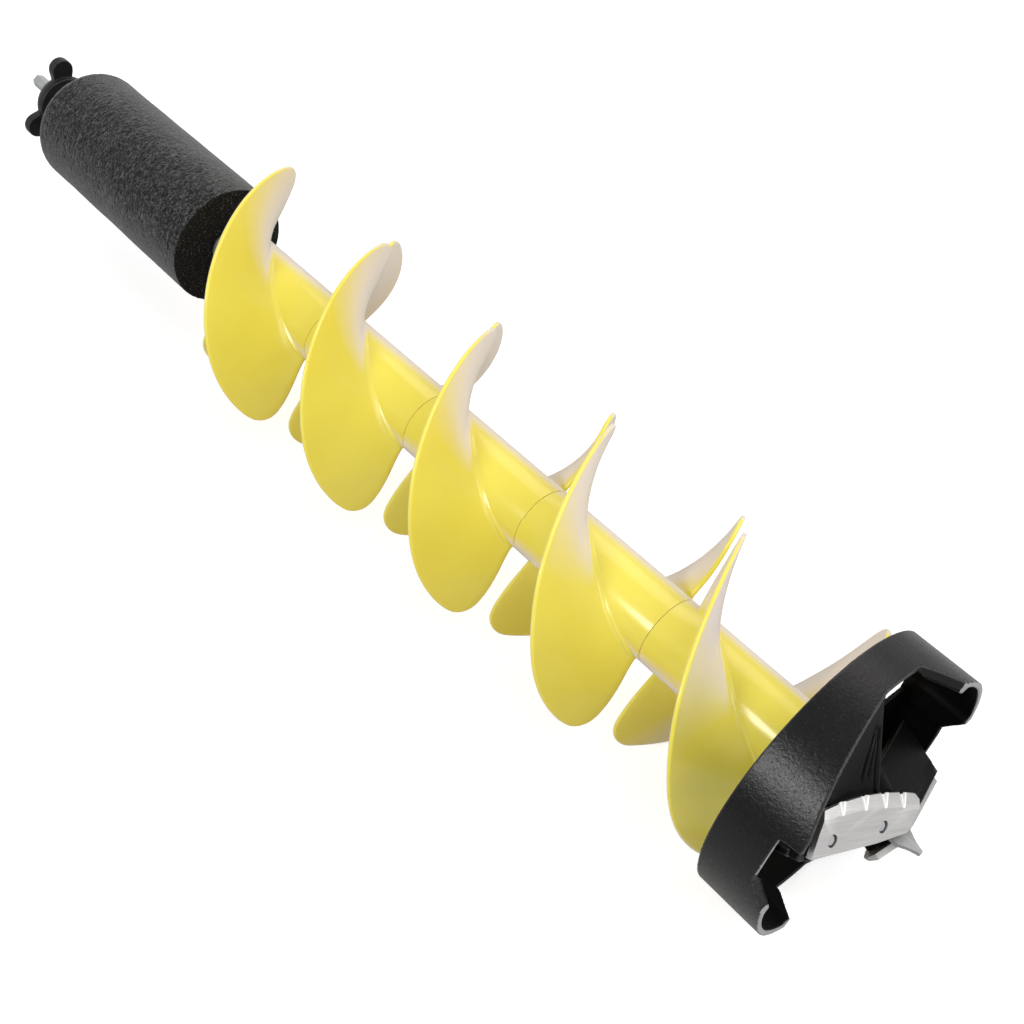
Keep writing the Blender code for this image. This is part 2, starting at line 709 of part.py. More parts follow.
def blade_cutters():
    """Edge bevel, tapered gashes between the teeth, and screw holes."""
    bevel = block(
        "edge_bevel", (130 * MM, 30 * MM, 6 * MM),
        BLADE_FRAME @ Matrix.Translation((58 * MM, BEVEL_FROM, 0))
        @ about_x(-math.atan2(BEVEL_DROP, BEVEL_TO - BEVEL_FROM))
        @ Matrix.Translation((0, 15 * MM, 3 * MM)),
    )
    gashes = [
        rod(
            f"tooth_gash_{k + 1}", 5.2 * MM, BLADE_FRAME @ Vector((x, 33 * MM, -7.5 * MM)),
            BLADE_FRAME @ Vector((x, 14.5 * MM, 2.0 * MM)), segments=10, end_radius=0.8 * MM,
        )
        for k, x in enumerate(GASHES_X)
    ]
    holes = rods_at_holes("blade_hole", 4.0 * MM, -6 * MM, 2 * MM, segments=16)
    return [bevel, *gashes, *holes]


def build_blade_screw(name, place, opposite):
    screw = blade_rod(name, SCREW_R, place, -14 * MM, -1.2 * MM, ZINC)
    top = PAD_BACK - GAP
    screw_head = blade_rod(
        name + "_head", SCREW_HEAD_R, place, top - SCREW_HEAD_T, top, segments=6)
    if opposite:
        half_turn(screw)
        half_turn(screw_head)
    boolean(screw, "UNION", screw_head)


def build_blades():
    cuts = blade_cutters()
    for side in range(2):
        blade = plate(f"blade_{side + 1}", BLADE_OUTLINE, -BLADE_T, 0.0, BLADE_STEEL)
        if side:
            half_turn(blade)
            cuts = [opposite_copy(cutter) for cutter in cuts]
        boolean(blade, "DIFFERENCE", *cuts)
        for k, place in enumerate(BLADE_HOLES):
            build_blade_screw(f"blade_screw_{2 * side + k + 1}", place, opposite=side == 1)


# ---------------------------------------------------------------- centre point and bolt
# flat spade: mm from the head's shank-side edge, half width in mm
SPADE_STATIONS = (
    (66.0, 6.6), (73.0, 6.8), (76.5, 5.0), (80.0, 3.2), (84.0, 2.0), (86.7, 1.4),
)
SPADE_T = 3.6 * MM
PIN_HALF = 13.5 * MM
BOLT_R, BOLT_HOLE_R, BOLT_HEX_R = 3.0 * MM, 3.4 * MM, 5.8 * MM


def spade_point(along, across):
    x, half = SPADE_STATIONS[round(along * 5)]
    return X_HEAD + x * MM, half * MM * (2 * across - 1), 0.0


def build_centre_point(pin_hole):
    """A flat spade on a round stem, pinned in the hub's nose."""
    point = rod(
        "centre_point", STEM_R, (X_HEAD + 42 * MM, 0, 0), (X_HEAD + 67 * MM, 0, 0), STEEL,
        segments=16,
    )
    boolean(point, "UNION", sheet("spade_blade", 5, 1, SPADE_T, spade_point, smooth=False))
    boolean(point, "DIFFERENCE", pin_hole)
    rod("centre_point_pin", PIN_R, (PIN_X, 0, -PIN_HALF), (PIN_X, 0, PIN_HALF), ZINC)


def build_cross_bolt():
    """Bolt and nut through the hub and the shaft."""
    where = (BOLT_ANGLE, BOLT_X)
    bolt = radial_rod("head_cross_bolt", BOLT_R, *where, (-36 * MM, 28 * MM), ZINC)
    boolean(bolt, "UNION", radial_rod(
        "cross_bolt_head", BOLT_HEX_R, *where, (HUB_R + GAP, HUB_R + 4.3 * MM), segments=6))
    nut = radial_rod(
        "head_cross_nut", BOLT_HEX_R, *where, (-HUB_R - 5.3 * MM, -HUB_R - GAP), ZINC,
        segments=6,
    )
    boolean(nut, "DIFFERENCE", radial_rod(
        "nut_bore", BOLT_R + GAP, *where, (-40 * MM, -20 * MM)))


# ---------------------------------------------------------------- assembly
bolt_hole = radial_rod(
    "cross_bolt_hole", BOLT_HOLE_R, BOLT_ANGLE, BOLT_X, (-40 * MM, 40 * MM))
pin_hole = rod(
    "point_pin_hole", PIN_R + GAP, (PIN_X, 0, -30 * MM), (PIN_X, 0, 30 * MM))
build_shaft(bolt_hole)
build_shank()
build_knob()
build_float()
build_collar()
build_end_cap()
build_flights()
build_head(bolt_hole, pin_hole)
build_blades()
build_centre_point(pin_hole)
build_cross_bolt()
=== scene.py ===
"""Looks of the ice fishing auger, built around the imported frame.

The auger lies along the X axis on a pale floor: the drive shank at low x, then the clamp knob,
the foam float, five flight segments and, at high x, the cutting head with its two blades.
Z is up. Lengths are metres; a number followed by MM is in millimetres.
"""

import math

import bmesh
import bpy
from mathutils import Matrix, Vector, noise


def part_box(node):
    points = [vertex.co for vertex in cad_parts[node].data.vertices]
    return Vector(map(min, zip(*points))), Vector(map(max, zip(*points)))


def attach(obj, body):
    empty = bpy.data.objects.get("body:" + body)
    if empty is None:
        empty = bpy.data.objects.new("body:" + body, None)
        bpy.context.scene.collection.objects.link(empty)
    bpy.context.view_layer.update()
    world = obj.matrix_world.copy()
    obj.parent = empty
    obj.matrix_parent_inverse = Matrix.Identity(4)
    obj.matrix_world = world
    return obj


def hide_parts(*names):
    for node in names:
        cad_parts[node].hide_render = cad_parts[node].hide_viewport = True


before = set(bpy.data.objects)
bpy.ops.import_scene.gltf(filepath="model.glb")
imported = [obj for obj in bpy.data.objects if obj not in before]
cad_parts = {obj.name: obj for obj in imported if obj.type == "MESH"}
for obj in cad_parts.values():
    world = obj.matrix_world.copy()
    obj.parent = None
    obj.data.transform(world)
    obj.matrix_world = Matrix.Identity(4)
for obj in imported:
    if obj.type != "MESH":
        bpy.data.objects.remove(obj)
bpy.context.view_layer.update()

MM = 0.001
TAU = math.tau
HALF_TURN = Matrix.Rotation(math.pi, 4, "X")

# ------------------------------------------------------------ driving dimensions
CLOCK = math.radians(118.6)  # the auger's own zero angle about X

X_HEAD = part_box("cutting_head")[0].x  # the head's end towards the shank
HEAD_R = 101.6 * MM

SEGMENTS = 5
PITCH = 125.07 * MM  # length of one flight segment
X_FLIGHTS = X_HEAD - SEGMENTS * PITCH
TUBE_R = 27.25 * MM
FLIGHT_R = 93.2 * MM

SHAFT_R = 11.0 * MM
SHAFT_BORE = SHAFT_R + 0.3 * MM  # bore of the parts that sit on the shaft

foam_low, foam_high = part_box("foam_float")
FOAM_X0, FOAM_X1 = foam_low.x, foam_high.x
FOAM_R = 52.6 * MM


def around(x, radius, angle):
    """The point at a radius and an angle (radians) about the X axis."""
    return Vector((x, radius * math.cos(angle), radius * math.sin(angle)))


def radial(degrees, radius, x):
    """The same, with the angle in degrees from the auger's own zero."""
    return around(x, radius, CLOCK + math.radians(degrees))


# ------------------------------------------------------------ node kit
class Nodes:
    """The node tree of a material or a world, under construction."""

    def __init__(self, owner, coordinates):
        owner.use_nodes = True
        self.tree = owner.node_tree
        self.coord = self.new("TexCoord").outputs[coordinates]

    def new(self, kind):
        return self.tree.nodes.new("ShaderNode" + kind)

    def put(self, socket, value):
        if isinstance(value, bpy.types.NodeSocket):
            self.tree.links.new(value, socket)
        else:
            socket.default_value = value

    def math(self, kind, *values):
        node = self.new("Math")
        node.operation = kind
        for socket, value in zip(node.inputs, values):
            self.put(socket, value)
        return node.outputs[0]

    def add(self, a, b):
        return self.math("ADD", a, b)

    def times(self, a, b):
        return self.math("MULTIPLY", a, b)

    def vary(self, *parts, base):
        """The base value plus each (mask, amount) multiplied together."""
        (mask, amount), *others = parts
        value = self.add(self.times(mask, amount), base)
        for mask, amount in others:
            value = self.add(value, self.times(mask, amount))
        return value

    def mix(self, mask, a, b, share=None):
        """Colour a turning into b where the mask is 1, or only by a share of the way."""
        if share is not None:
            mask = self.times(mask, share)
        node = self.new("Mix")
        node.data_type = "RGBA"
        self.put(node.inputs["Factor"], mask)
        self.put(node.inputs[6], (*a, 1) if isinstance(a, tuple) else a)
        self.put(node.inputs[7], (*b, 1) if isinstance(b, tuple) else b)
        return node.outputs[2]

    def ramp(self, mask, stops):
        """A grey ramp through (place, brightness) stops."""
        node = self.new("ValToRGB")
        elements = node.color_ramp.elements
        while len(elements) < len(stops):
            elements.new(0.5)
        for element, (place, value) in zip(elements, stops):
            element.position = place
            element.color = (value, value, value, 1)
        self.put(node.inputs["Fac"], mask)
        return node.outputs["Color"]

    def fade(self, mask, start, end, first=0.0, last=1.0):
        """From the first value to the last while the mask goes from start to end."""
        return self.ramp(mask, ((start, first), (end, last)))

    def map_range(self, value, start, end, first, last, interpolation="LINEAR"):
        node = self.new("MapRange")
        node.interpolation_type = interpolation
        self.put(node.inputs["Value"], value)
        for name, number in zip(("From Min", "From Max", "To Min", "To Max"), (start, end, first, last)):
            node.inputs[name].default_value = number
        return node.outputs["Result"]

    def split(self, vector):
        node = self.new("SeparateXYZ")
        self.put(node.inputs[0], vector)
        return node.outputs

    def camera_ray(self):
        return self.new("LightPath").outputs["Is Camera Ray"]


class Kit(Nodes):
    """A node material under construction, in object coordinates."""

    def __init__(self, name):
        self.mat = bpy.data.materials.new(name)
        super().__init__(self.mat, "Object")
        self.shader = self.tree.nodes["Principled BSDF"]

    def set(self, **values):
        for key, value in values.items():
            self.put(self.shader.inputs[key.replace("_", " ")], value)

    def mapping(self, scale=(1, 1, 1), rotation=(0, 0, 0), location=(0, 0, 0), vector=None):
        node = self.new("Mapping")
        node.inputs["Scale"].default_value = scale
        node.inputs["Rotation"].default_value = rotation
        node.inputs["Location"].default_value = location
        self.put(node.inputs["Vector"], self.coord if vector is None else vector)
        return node.outputs["Vector"]

    def noise(self, scale, detail=4.0, rough=0.55, vector=None, distortion=0.0):
        node = self.new("TexNoise")
        node.inputs["Scale"].default_value = scale
        node.inputs["Detail"].default_value = detail
        node.inputs["Roughness"].default_value = rough
        node.inputs["Distortion"].default_value = distortion
        self.put(node.inputs["Vector"], self.coord if vector is None else vector)
        return node.outputs["Fac"]

    def voronoi(self, scale):
        node = self.new("TexVoronoi")
        node.inputs["Scale"].default_value = scale
        self.put(node.inputs["Vector"], self.coord)
        return node.outputs["Distance"]

    def facing(self):
        """Rises from 0 towards 1 where the surface turns away from the eye."""
        node = self.new("LayerWeight")
        node.inputs["Blend"].default_value = 0.5
        return node.outputs["Facing"]

    def downward(self, low, high):
        """1 where the surface looks down, 0 where it looks up."""
        upward = self.split(self.new("NewGeometry").outputs["Normal"])["Z"]
        return self.map_range(upward, low, high, first=1.0, last=0.0)

    def edges(self, start, end):
        """Outer corners of the mesh, where handling wears them."""
        return self.fade(self.new("NewGeometry").outputs["Pointiness"], start, end)

    def bump(self, height, strength, distance, normal=None):
        node = self.new("Bump")
        node.inputs["Strength"].default_value = strength
        node.inputs["Distance"].default_value = distance
        self.put(node.inputs["Height"], height)
        if normal is not None:
            self.put(node.inputs["Normal"], normal)
        return node.outputs["Normal"]


# ------------------------------------------------------------ materials
def yellow_plastic():
    kit = Kit("moulded_yellow_plastic")
    deep, bright = (0.78, 0.672, 0.086), (0.82, 0.73, 0.122)
    scuffed, underside_shade, rim = (0.82, 0.74, 0.36), (0.80, 0.58, 0.045), (0.79, 0.715, 0.69)

    cloud = kit.noise(scale=11.0, detail=3.0, rough=0.5)
    flow = kit.noise(scale=60.0, detail=4.0, rough=0.6, vector=kit.mapping(scale=(0.35, 1.0, 1.0)))
    colour = kit.mix(kit.fade(cloud, start=0.34, end=0.70), deep, bright)
    scuff_lines = kit.mapping(scale=(0.16, 1.0, 1.0), rotation=(0.2, 0.5, 0.3))
    scuff = kit.noise(scale=420.0, detail=5.0, rough=0.7, vector=scuff_lines)
    scuff = kit.fade(scuff, start=0.66, end=0.74)
    colour = kit.mix(scuff, colour, scuffed, share=0.18)
    # Painted shade: faces that look down are tinted a deeper, warmer yellow, as light bounced about in
    # the plastic would colour them.
    colour = kit.mix(kit.downward(low=-0.35, high=0.45), colour, underside_shade, share=0.75)
    # Painted sheen: the colour turns pale pink where the surface turns away from the eye, standing in
    # for the studio's reflection at grazing angles.
    edge = kit.ramp(kit.facing(), ((0.42, 0.0), (0.52, 0.30), (0.62, 0.72), (0.74, 1.0)))
    colour = kit.mix(edge, colour, rim, share=0.95)

    normal = kit.bump(kit.noise(scale=26.0, detail=2.0, rough=0.5), strength=0.30, distance=0.0006)
    grain = kit.noise(scale=900.0, detail=3.0, rough=0.5)
    kit.set(
        Base_Color=colour,
        Roughness=kit.vary((flow, 0.08), (scuff, 0.12), base=0.20),
        Normal=kit.bump(grain, strength=0.07, distance=0.00010, normal=normal),
        IOR=1.5,
        Subsurface_Weight=0.12,
        Subsurface_Radius=(1.0, 0.75, 0.12),
        Subsurface_Scale=0.003,
        Coat_Weight=0.06,
        Coat_Roughness=0.15,
    )
    kit.shader.subsurface_method = "RANDOM_WALK"
    return kit.mat


def moulding(name, base, rough, ripple, ripple_scale, specular, fleck):
    """Moulded plastic with a rippled skin, dust, pale flecks and worn corners."""
    kit = Kit(name)
    dark = tuple(c * 0.70 for c in base)
    light = tuple(min(1.0, c * 2.2 + 0.012) for c in base)
    worn_grey = (0.095, 0.095, 0.097)

    pits = kit.noise(scale=640.0, detail=5.0, rough=0.70, distortion=0.4)
    pits = kit.fade(pits, start=0.60, end=0.74)
    patch = kit.noise(scale=60.0, detail=3.0, rough=0.6)
    speck = kit.times(pits, kit.fade(patch, start=0.36, end=0.66, first=0.35))
    dust = kit.fade(kit.noise(scale=150.0, detail=5.0, rough=0.66), start=0.38, end=0.78)
    colour = kit.mix(dust, dark, base)
    colour = kit.mix(speck, colour, light, share=fleck)
    wear = kit.noise(scale=140.0, detail=3.0, rough=0.6)
    wear = kit.fade(wear, start=0.30, end=0.62, first=0.45)
    worn = kit.times(kit.edges(start=0.515, end=0.58), wear)
    colour = kit.mix(worn, colour, worn_grey, share=0.75)

    wave = kit.noise(scale=ripple_scale, detail=3.0, rough=0.55, distortion=0.6)
    fine_wave = kit.noise(scale=ripple_scale * 2.1, detail=4.0, rough=0.65)
    normal = kit.bump(wave, strength=ripple, distance=0.0007)
    normal = kit.bump(fine_wave, strength=0.50, distance=0.00022, normal=normal)
    kit.set(
        Base_Color=colour,
        Roughness=kit.vary((dust, 0.06), (speck, 0.16), base=rough),
        Normal=kit.bump(speck, strength=0.35, distance=0.00018, normal=normal),
        IOR=1.5,
        Specular_IOR_Level=specular,
    )
    return kit.mat


def foam_skin():
    kit = Kit("closed_cell_foam")
    black, dark = (0.0035, 0.0035, 0.0035), (0.024, 0.024, 0.024)
    crest_highlight_grey, grazing_sheen_grey, cloud_grey = (0.135, 0.135, 0.136), (0.30, 0.30, 0.30), (0.050, 0.050, 0.050)

    along = kit.mapping(scale=(1.0, 0.60, 0.60))
    streak = kit.noise(scale=430.0, detail=5.0, rough=0.68, vector=along, distortion=1.2)
    grain = kit.noise(scale=1150.0, detail=3.0, rough=0.6)
    cells = kit.voronoi(scale=620.0)
    cloud = kit.noise(scale=16.0, detail=3.0, rough=0.5)
    colour = kit.mix(kit.fade(streak, start=0.42, end=0.58), black, dark)
    # Crests are where the streaks, weighed with the grain, stand high; they are painted lighter grey, a
    # painted highlight where light catches them.
    crest = kit.add(kit.times(streak, 0.62), kit.times(grain, 0.38))
    crest = kit.fade(crest, start=0.51, end=0.58)
    colour = kit.mix(crest, colour, crest_highlight_grey, share=0.60)
    # Painted sheen: paler grey where the surface turns away from the eye.
    colour = kit.mix(kit.fade(kit.facing(), start=0.38, end=0.88), colour, grazing_sheen_grey, share=0.55)
    colour = kit.mix(kit.fade(cloud, start=0.3, end=0.75, last=0.15), colour, cloud_grey)

    normal = kit.bump(streak, strength=1.0, distance=0.0012)
    pores = kit.add(grain, kit.times(cells, 0.7))
    kit.set(
        Base_Color=colour,
        Roughness=kit.vary((streak, 0.20), base=0.56),
        Normal=kit.bump(pores, strength=0.7, distance=0.00030, normal=normal),
        Specular_IOR_Level=kit.vary((crest, 0.30), base=0.10),
        Sheen_Weight=0.05,
        Sheen_Roughness=0.5,
    )
    return kit.mat


def foam_cut():
    kit = Kit("cut_foam_face")
    black, dark, pale = (0.002, 0.002, 0.0025), (0.009, 0.009, 0.010), (0.26, 0.26, 0.26)

    open_cells = kit.fade(kit.voronoi(scale=750.0), start=0.15, end=0.55)
    fleck = kit.fade(kit.noise(scale=950.0, detail=4.0, rough=0.7), start=0.59, end=0.67)
    colour = kit.mix(open_cells, black, dark)
    colour = kit.mix(fleck, colour, pale, share=0.8)
    normal = kit.bump(open_cells, strength=0.8, distance=0.0006)
    grain = kit.noise(scale=1500.0, detail=3.0, rough=0.6)
    kit.set(
        Base_Color=colour,
        Roughness=kit.vary((fleck, 0.1), base=0.82),
        Normal=kit.bump(grain, strength=0.4, distance=0.0002, normal=normal),
        Specular_IOR_Level=0.12,
    )
    return kit.mat


def metal(name, base, rough, stretch, streak=0.30, tint=(0.75, 0.75, 0.75)):
    """A worked metal: fine tool lines, long where stretch is small, with smudges and nicks."""
    kit = Kit(name)
    darker = tuple(b * t for b, t in zip(base, tint))
    nicked = tuple(b * 0.55 for b in base)

    lines = kit.noise(scale=520.0, detail=5.0, rough=0.7, vector=kit.mapping(scale=stretch))
    smudge = kit.noise(scale=45.0, detail=4.0, rough=0.6)
    nick = kit.fade(kit.noise(scale=800.0, detail=3.0, rough=0.6), start=0.72, end=0.80)
    colour = kit.mix(kit.fade(lines, start=0.30, end=0.70), darker, base)
    colour = kit.mix(nick, colour, nicked, share=0.35)
    normal = kit.bump(lines, strength=0.12, distance=0.00015)
    kit.set(
        Base_Color=colour,
        Metallic=1.0,
        Roughness=kit.vary((lines, streak), (smudge, 0.10), base=rough),
        Normal=kit.bump(nick, strength=0.15, distance=0.00008, normal=normal),
    )
    return kit.mat


YELLOW = yellow_plastic()
HEAD_BLACK = moulding(
    "moulded_black_plastic", base=(0.0046, 0.0046, 0.0048), rough=0.24,
    ripple=0.34, ripple_scale=430.0, specular=0.30, fleck=0.9,
)
KNOB_BLACK = moulding(
    "satin_black_plastic", base=(0.008, 0.008, 0.0084), rough=0.33,
    ripple=0.20, ripple_scale=120.0, specular=0.38, fleck=0.25,
)
# A darker, less shiny copy of the black moulding for the faces inside the head: painted shade.
HEAD_INNER_SHADED = moulding(
    "black_plastic_inside_painted_shade", base=(0.0042, 0.0042, 0.0044), rough=0.46,
    ripple=0.25, ripple_scale=150.0, specular=0.045, fleck=0.3,
)
FOOT_GREY = moulding(
    "worn_plastic_face", base=(0.40, 0.40, 0.405), rough=0.42,
    ripple=0.30, ripple_scale=260.0, specular=0.4, fleck=0.2,
)
FOAM = foam_skin()
FOAM_CUT = foam_cut()
STEEL = metal("turned_steel", base=(0.60, 0.60, 0.61), rough=0.22, stretch=(1.0, 0.05, 0.05))
SHANK_STEEL = metal("drawn_hex_steel", base=(0.66, 0.67, 0.68), rough=0.24, stretch=(0.05, 1.0, 1.0))
ZINC = metal(
    "zinc_plate", base=(0.66, 0.67, 0.69), rough=0.20, stretch=(0.6, 0.6, 0.6),
    streak=0.2, tint=(0.85, 0.85, 0.88),
)
# Brighter steel for the freshly ground gashes. It is given only to the slopes on one side, so it also
# paints the light on them.
GASH_STEEL_LIT_SIDE = metal(
    "fresh_ground_steel_lit_side", base=(0.84, 0.84, 0.835), rough=0.42, stretch=(1.0, 0.3, 1.0),
    streak=0.15, tint=(0.93, 0.93, 0.93),
)
BRASS = metal("turned_brass", base=(0.72, 0.53, 0.22), rough=0.20, stretch=(1.0, 0.06, 0.06))


# ------------------------------------------------------------ objects from shapes (bmeshes)
def helper(name, shape):
    """An object made from a shape, which is used up."""
    mesh = bpy.data.meshes.new(name)
    shape.to_mesh(mesh)
    shape.free()
    obj = bpy.data.objects.new(name, mesh)
    bpy.context.scene.collection.objects.link(obj)
    return obj


def add(name, shape, materials, node, body="auger", smooth=30):
    """A finished piece in place of a CAD node; edges over `smooth` degrees stay sharp."""
    obj = helper(name, shape)
    for material in materials:
        obj.data.materials.append(material)
    obj.data.shade_smooth()
    if smooth is not None:
        obj.data.set_sharp_from_angle(angle=math.radians(smooth))
    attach(obj, body)
    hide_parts(node)
    return obj


def bevel_edges(obj, width, segments, degrees):
    bevel = obj.modifiers.new("edges", "BEVEL")
    bevel.width, bevel.segments = width, segments
    bevel.limit_method, bevel.angle_limit = "ANGLE", math.radians(degrees)


def bake(obj):
    """Applies every modifier and returns the mesh as a shape, in world space; the object goes."""
    bpy.context.view_layer.update()
    graph = bpy.context.evaluated_depsgraph_get()
    mesh = bpy.data.meshes.new_from_object(obj.evaluated_get(graph))
    mesh.transform(obj.matrix_world)
    shape = bmesh.new()
    shape.from_mesh(mesh)
    bpy.data.meshes.remove(mesh)
    bpy.data.objects.remove(obj, do_unlink=True)
    return shape


def combine(base, steps, solver="EXACT"):
    """Applies (operation, tool) Boolean steps to the base; the tools are removed."""
    for operation, tool in steps:
        boolean = base.modifiers.new("boolean", "BOOLEAN")
        boolean.operation = operation
        boolean.solver = solver
        boolean.object = tool
    shape = bake(base)
    for _, tool in steps:
        bpy.data.objects.remove(tool, do_unlink=True)
    return shape


def softened(name, shape, voxel, passes):
    """The shape rebuilt from voxels and smoothed, so that its joints are rounded like a moulding's."""
    obj = helper(name, shape)
    remesh = obj.modifiers.new("voxels", "REMESH")
    remesh.mode, remesh.voxel_size, remesh.adaptivity = "VOXEL", voxel, 0.0
    smooth = obj.modifiers.new("smooth", "SMOOTH")
    smooth.factor, smooth.iterations = 0.5, passes
    return bake(obj)


# ------------------------------------------------------------ shape kit
def face_outwards(shape):
    bmesh.ops.recalc_face_normals(shape, faces=shape.faces)
    if shape.calc_volume(signed=True) < 0:
        bmesh.ops.reverse_faces(shape, faces=shape.faces)
    return shape


def moved(shape, matrix):
    bmesh.ops.transform(shape, matrix=matrix, verts=shape.verts)
    return shape


def half_turned(shape):
    """A copy on the other side of the X axis."""
    return moved(shape.copy(), HALF_TURN)


def circle(shape, x, radius, segments, start=0.0):
    """A ring of vertices about X, or one vertex where the radius is nothing."""
    if radius < 1e-7:
        return [shape.verts.new((x, 0, 0))]
    return [shape.verts.new(around(x, radius, start + TAU * i / segments)) for i in range(segments)]


def join_rings(shape, rings, closed=False):
    """Faces between successive rings, and from the last to the first if closed."""
    for a, b in zip(rings, rings[1:] + (rings[:1] if closed else [])):
        count = max(len(a), len(b))
        for i in range(count):
            j = (i + 1) % count
            corners = []
            for vert in (a[i % len(a)], a[j % len(a)], b[j % len(b)], b[i % len(b)]):
                if vert not in corners:
                    corners.append(vert)
            if len(corners) >= 3:
                shape.faces.new(corners)


def capped(shape, rings):
    """A solid through the rings, with a face at each end."""
    join_rings(shape, rings)
    shape.faces.new(rings[0][::-1])
    shape.faces.new(rings[-1])
    return face_outwards(shape)


def lathe(profile, segments, closed=True):
    """Turned surface from (x, radius) points."""
    shape = bmesh.new()
    rings = [circle(shape, x, radius, segments) for x, radius in profile]
    join_rings(shape, rings, closed)
    return face_outwards(shape)


def rounded(profile, radius, steps):
    """The closed profile with each corner replaced by a small curve."""
    out = []
    for i, point in enumerate(profile):
        corner = Vector(point)
        before = Vector(profile[i - 1]) - corner
        after = Vector(profile[(i + 1) % len(profile)]) - corner
        cut = min(radius, before.length * 0.45, after.length * 0.45)
        straight = abs(before.normalized().dot(after.normalized()) + 1) < 1e-3
        if cut < 1e-6 or straight:
            out.append(point)
            continue
        start = corner + before.normalized() * cut
        end = corner + after.normalized() * cut
        for step in range(steps + 1):
            t = step / steps
            curve = (1 - t) ** 2 * start + 2 * t * (1 - t) * corner + t**2 * end
            out.append((curve.x, curve.y))
    return out


def ring_profile(x0, x1, outer, bore):
    return [(x0, outer), (x1, outer), (x1, bore), (x0, bore)]


def cylinder(radius, start, end, segments=32, end_radius=None):
    start, end = Vector(start), Vector(end)
    shape = bmesh.new()
    bmesh.ops.create_cone(
        shape, cap_ends=True, segments=segments, radius1=radius,
        radius2=radius if end_radius is None else end_radius, depth=(end - start).length,
    )
    turn = (end - start).to_track_quat("Z", "Y").to_matrix().to_4x4()
    return moved(shape, Matrix.Translation((start + end) / 2) @ turn)


def box(size):
    shape = bmesh.new()
    bmesh.ops.create_cube(shape, size=1.0)
    bmesh.ops.scale(shape, vec=size, verts=shape.verts)
    return shape


def plate(outline, z0, z1):
    """An (x, y) outline in millimetres, raised from z0 to z1 in metres."""
    shape = bmesh.new()
    low = [shape.verts.new((x * MM, y * MM, z0)) for x, y in outline]
    high = [shape.verts.new((x * MM, y * MM, z1)) for x, y in outline]
    shape.faces.new(low[::-1])
    shape.faces.new(high)
    for i in range(len(outline)):
        j = (i + 1) % len(outline)
        shape.faces.new([low[i], low[j], high[j], high[i]])
    return face_outwards(shape)


def prism(sections):
    """A closed solid lofted through equal polygons, in millimetres."""
    shape = bmesh.new()
    rings = [[shape.verts.new(Vector(point) * MM) for point in section] for section in sections]
    shape.faces.new(rings[0])
    shape.faces.new(rings[-1][::-1])
    for a, b in zip(rings, rings[1:]):
        for i in range(len(a)):
            j = (i + 1) % len(a)
            shape.faces.new([a[i], b[i], b[j], a[j]])
    return face_outwards(shape)


# ------------------------------------------------------------ flights
RAKE = 6.2 * MM  # how far the vane's rim leans towards the shank
BEND = 8.0 * MM  # further lean of the rim at the vane's end towards the head
VANE_HALF = 3.6 * MM / 2  # half the vane's thickness
VANE_TAPER = 0.12  # share of the thickness lost at the rim
LEAD = 2 * PITCH / TAU  # advance along X per radian
FILLET = 3.2 * MM
END_GAP = 0.15 * MM  # from a segment's end to the joint's plane
# Radius (mm), and how many degrees the vane reaches to the shank's side and to the head's side.
VANE_ENDS = (
    (20.0, 77.6, 80.0), (25.6, 77.5, 84.0), (34.0, 77.3, 89.0), (48.0, 77.1, 95.5),
    (62.0, 76.3, 99.4), (73.0, 75.1, 100.8), (80.0, 73.4, 100.7), (85.5, 70.7, 99.4),
    (89.5, 67.4, 96.9), (91.4, 64.8, 94.6), (92.4, 62.4, 91.5), (92.9, 60.6, 89.0),
    (93.2, 58.6, 85.5),
)
# Distances from the vane's rim and ends of the rows that make them round.
RIM_STEPS = [d * MM for d in (0.0, 0.06, 0.2, 0.45, 0.8, 1.25, 1.8)]
# Rows by the hub tube: distances outside its surface (mm).
ROOT_STEPS = (-1.8, -0.5, 0.15, 0.5, 1.1, 2.0, 3.3)


def vane_point(angle, radius):
    """A point of the vane's middle surface."""
    out = (radius - TUBE_R) / (FLIGHT_R - TUBE_R)
    fore = min(1.0, max(0.0, (math.degrees(angle) - 30.0) / 70.0))
    bend = BEND * fore * fore * (3 - 2 * fore) * math.sqrt(max(0.0, out))
    return around(angle * LEAD - RAKE * out - bend, radius, angle)


def vane_reach(radius):
    """The two end angles at one radius, by a Catmull-Rom curve through VANE_ENDS."""
    table = VANE_ENDS
    radius = radius / MM
    for i in range(len(table) - 1):
        if radius <= table[i + 1][0] + 1e-9:
            break
    low, high = table[i], table[i + 1]
    before, after = table[max(i - 1, 0)], table[min(i + 2, len(table) - 1)]
    step = high[0] - low[0]
    t = (radius - low[0]) / step
    reach = []
    for side in (1, 2):
        slope0 = (high[side] - before[side]) / max(high[0] - before[0], 1e-6) * step
        slope1 = (after[side] - low[side]) / max(after[0] - low[0], 1e-6) * step
        value = (
            (2 * t**3 - 3 * t**2 + 1) * low[side] + (t**3 - 2 * t**2 + t) * slope0
            + (3 * t**2 - 2 * t**3) * high[side] + (t**3 - t**2) * slope1
        )
        reach.append(math.radians(value))
    return reach


def vane_radii():
    """Rows from inside the hub tube to the rim, finer at both."""
    count = 18
    radii = [TUBE_R + step * MM for step in ROOT_STEPS]
    root, top = radii[-1], FLIGHT_R - RIM_STEPS[-1]
    radii += [root + (top - root) * (1 - (1 - i / count) ** 1.25) for i in range(1, count)]
    return radii + [FLIGHT_R - step for step in reversed(RIM_STEPS)]


def vane_places():
    """Columns from the vane's shank end (0) to its head end (1), finer at both."""
    span = math.radians(160.0) * math.hypot(FLIGHT_R, LEAD)
    margin = RIM_STEPS[-1]
    inner = span - 2 * margin
    count = max(2, round(inner / (5.0 * MM)))
    distances = RIM_STEPS + [margin + inner * i / count for i in range(1, count)]
    distances += [span - step for step in reversed(RIM_STEPS)]
    return [distance / span for distance in distances]


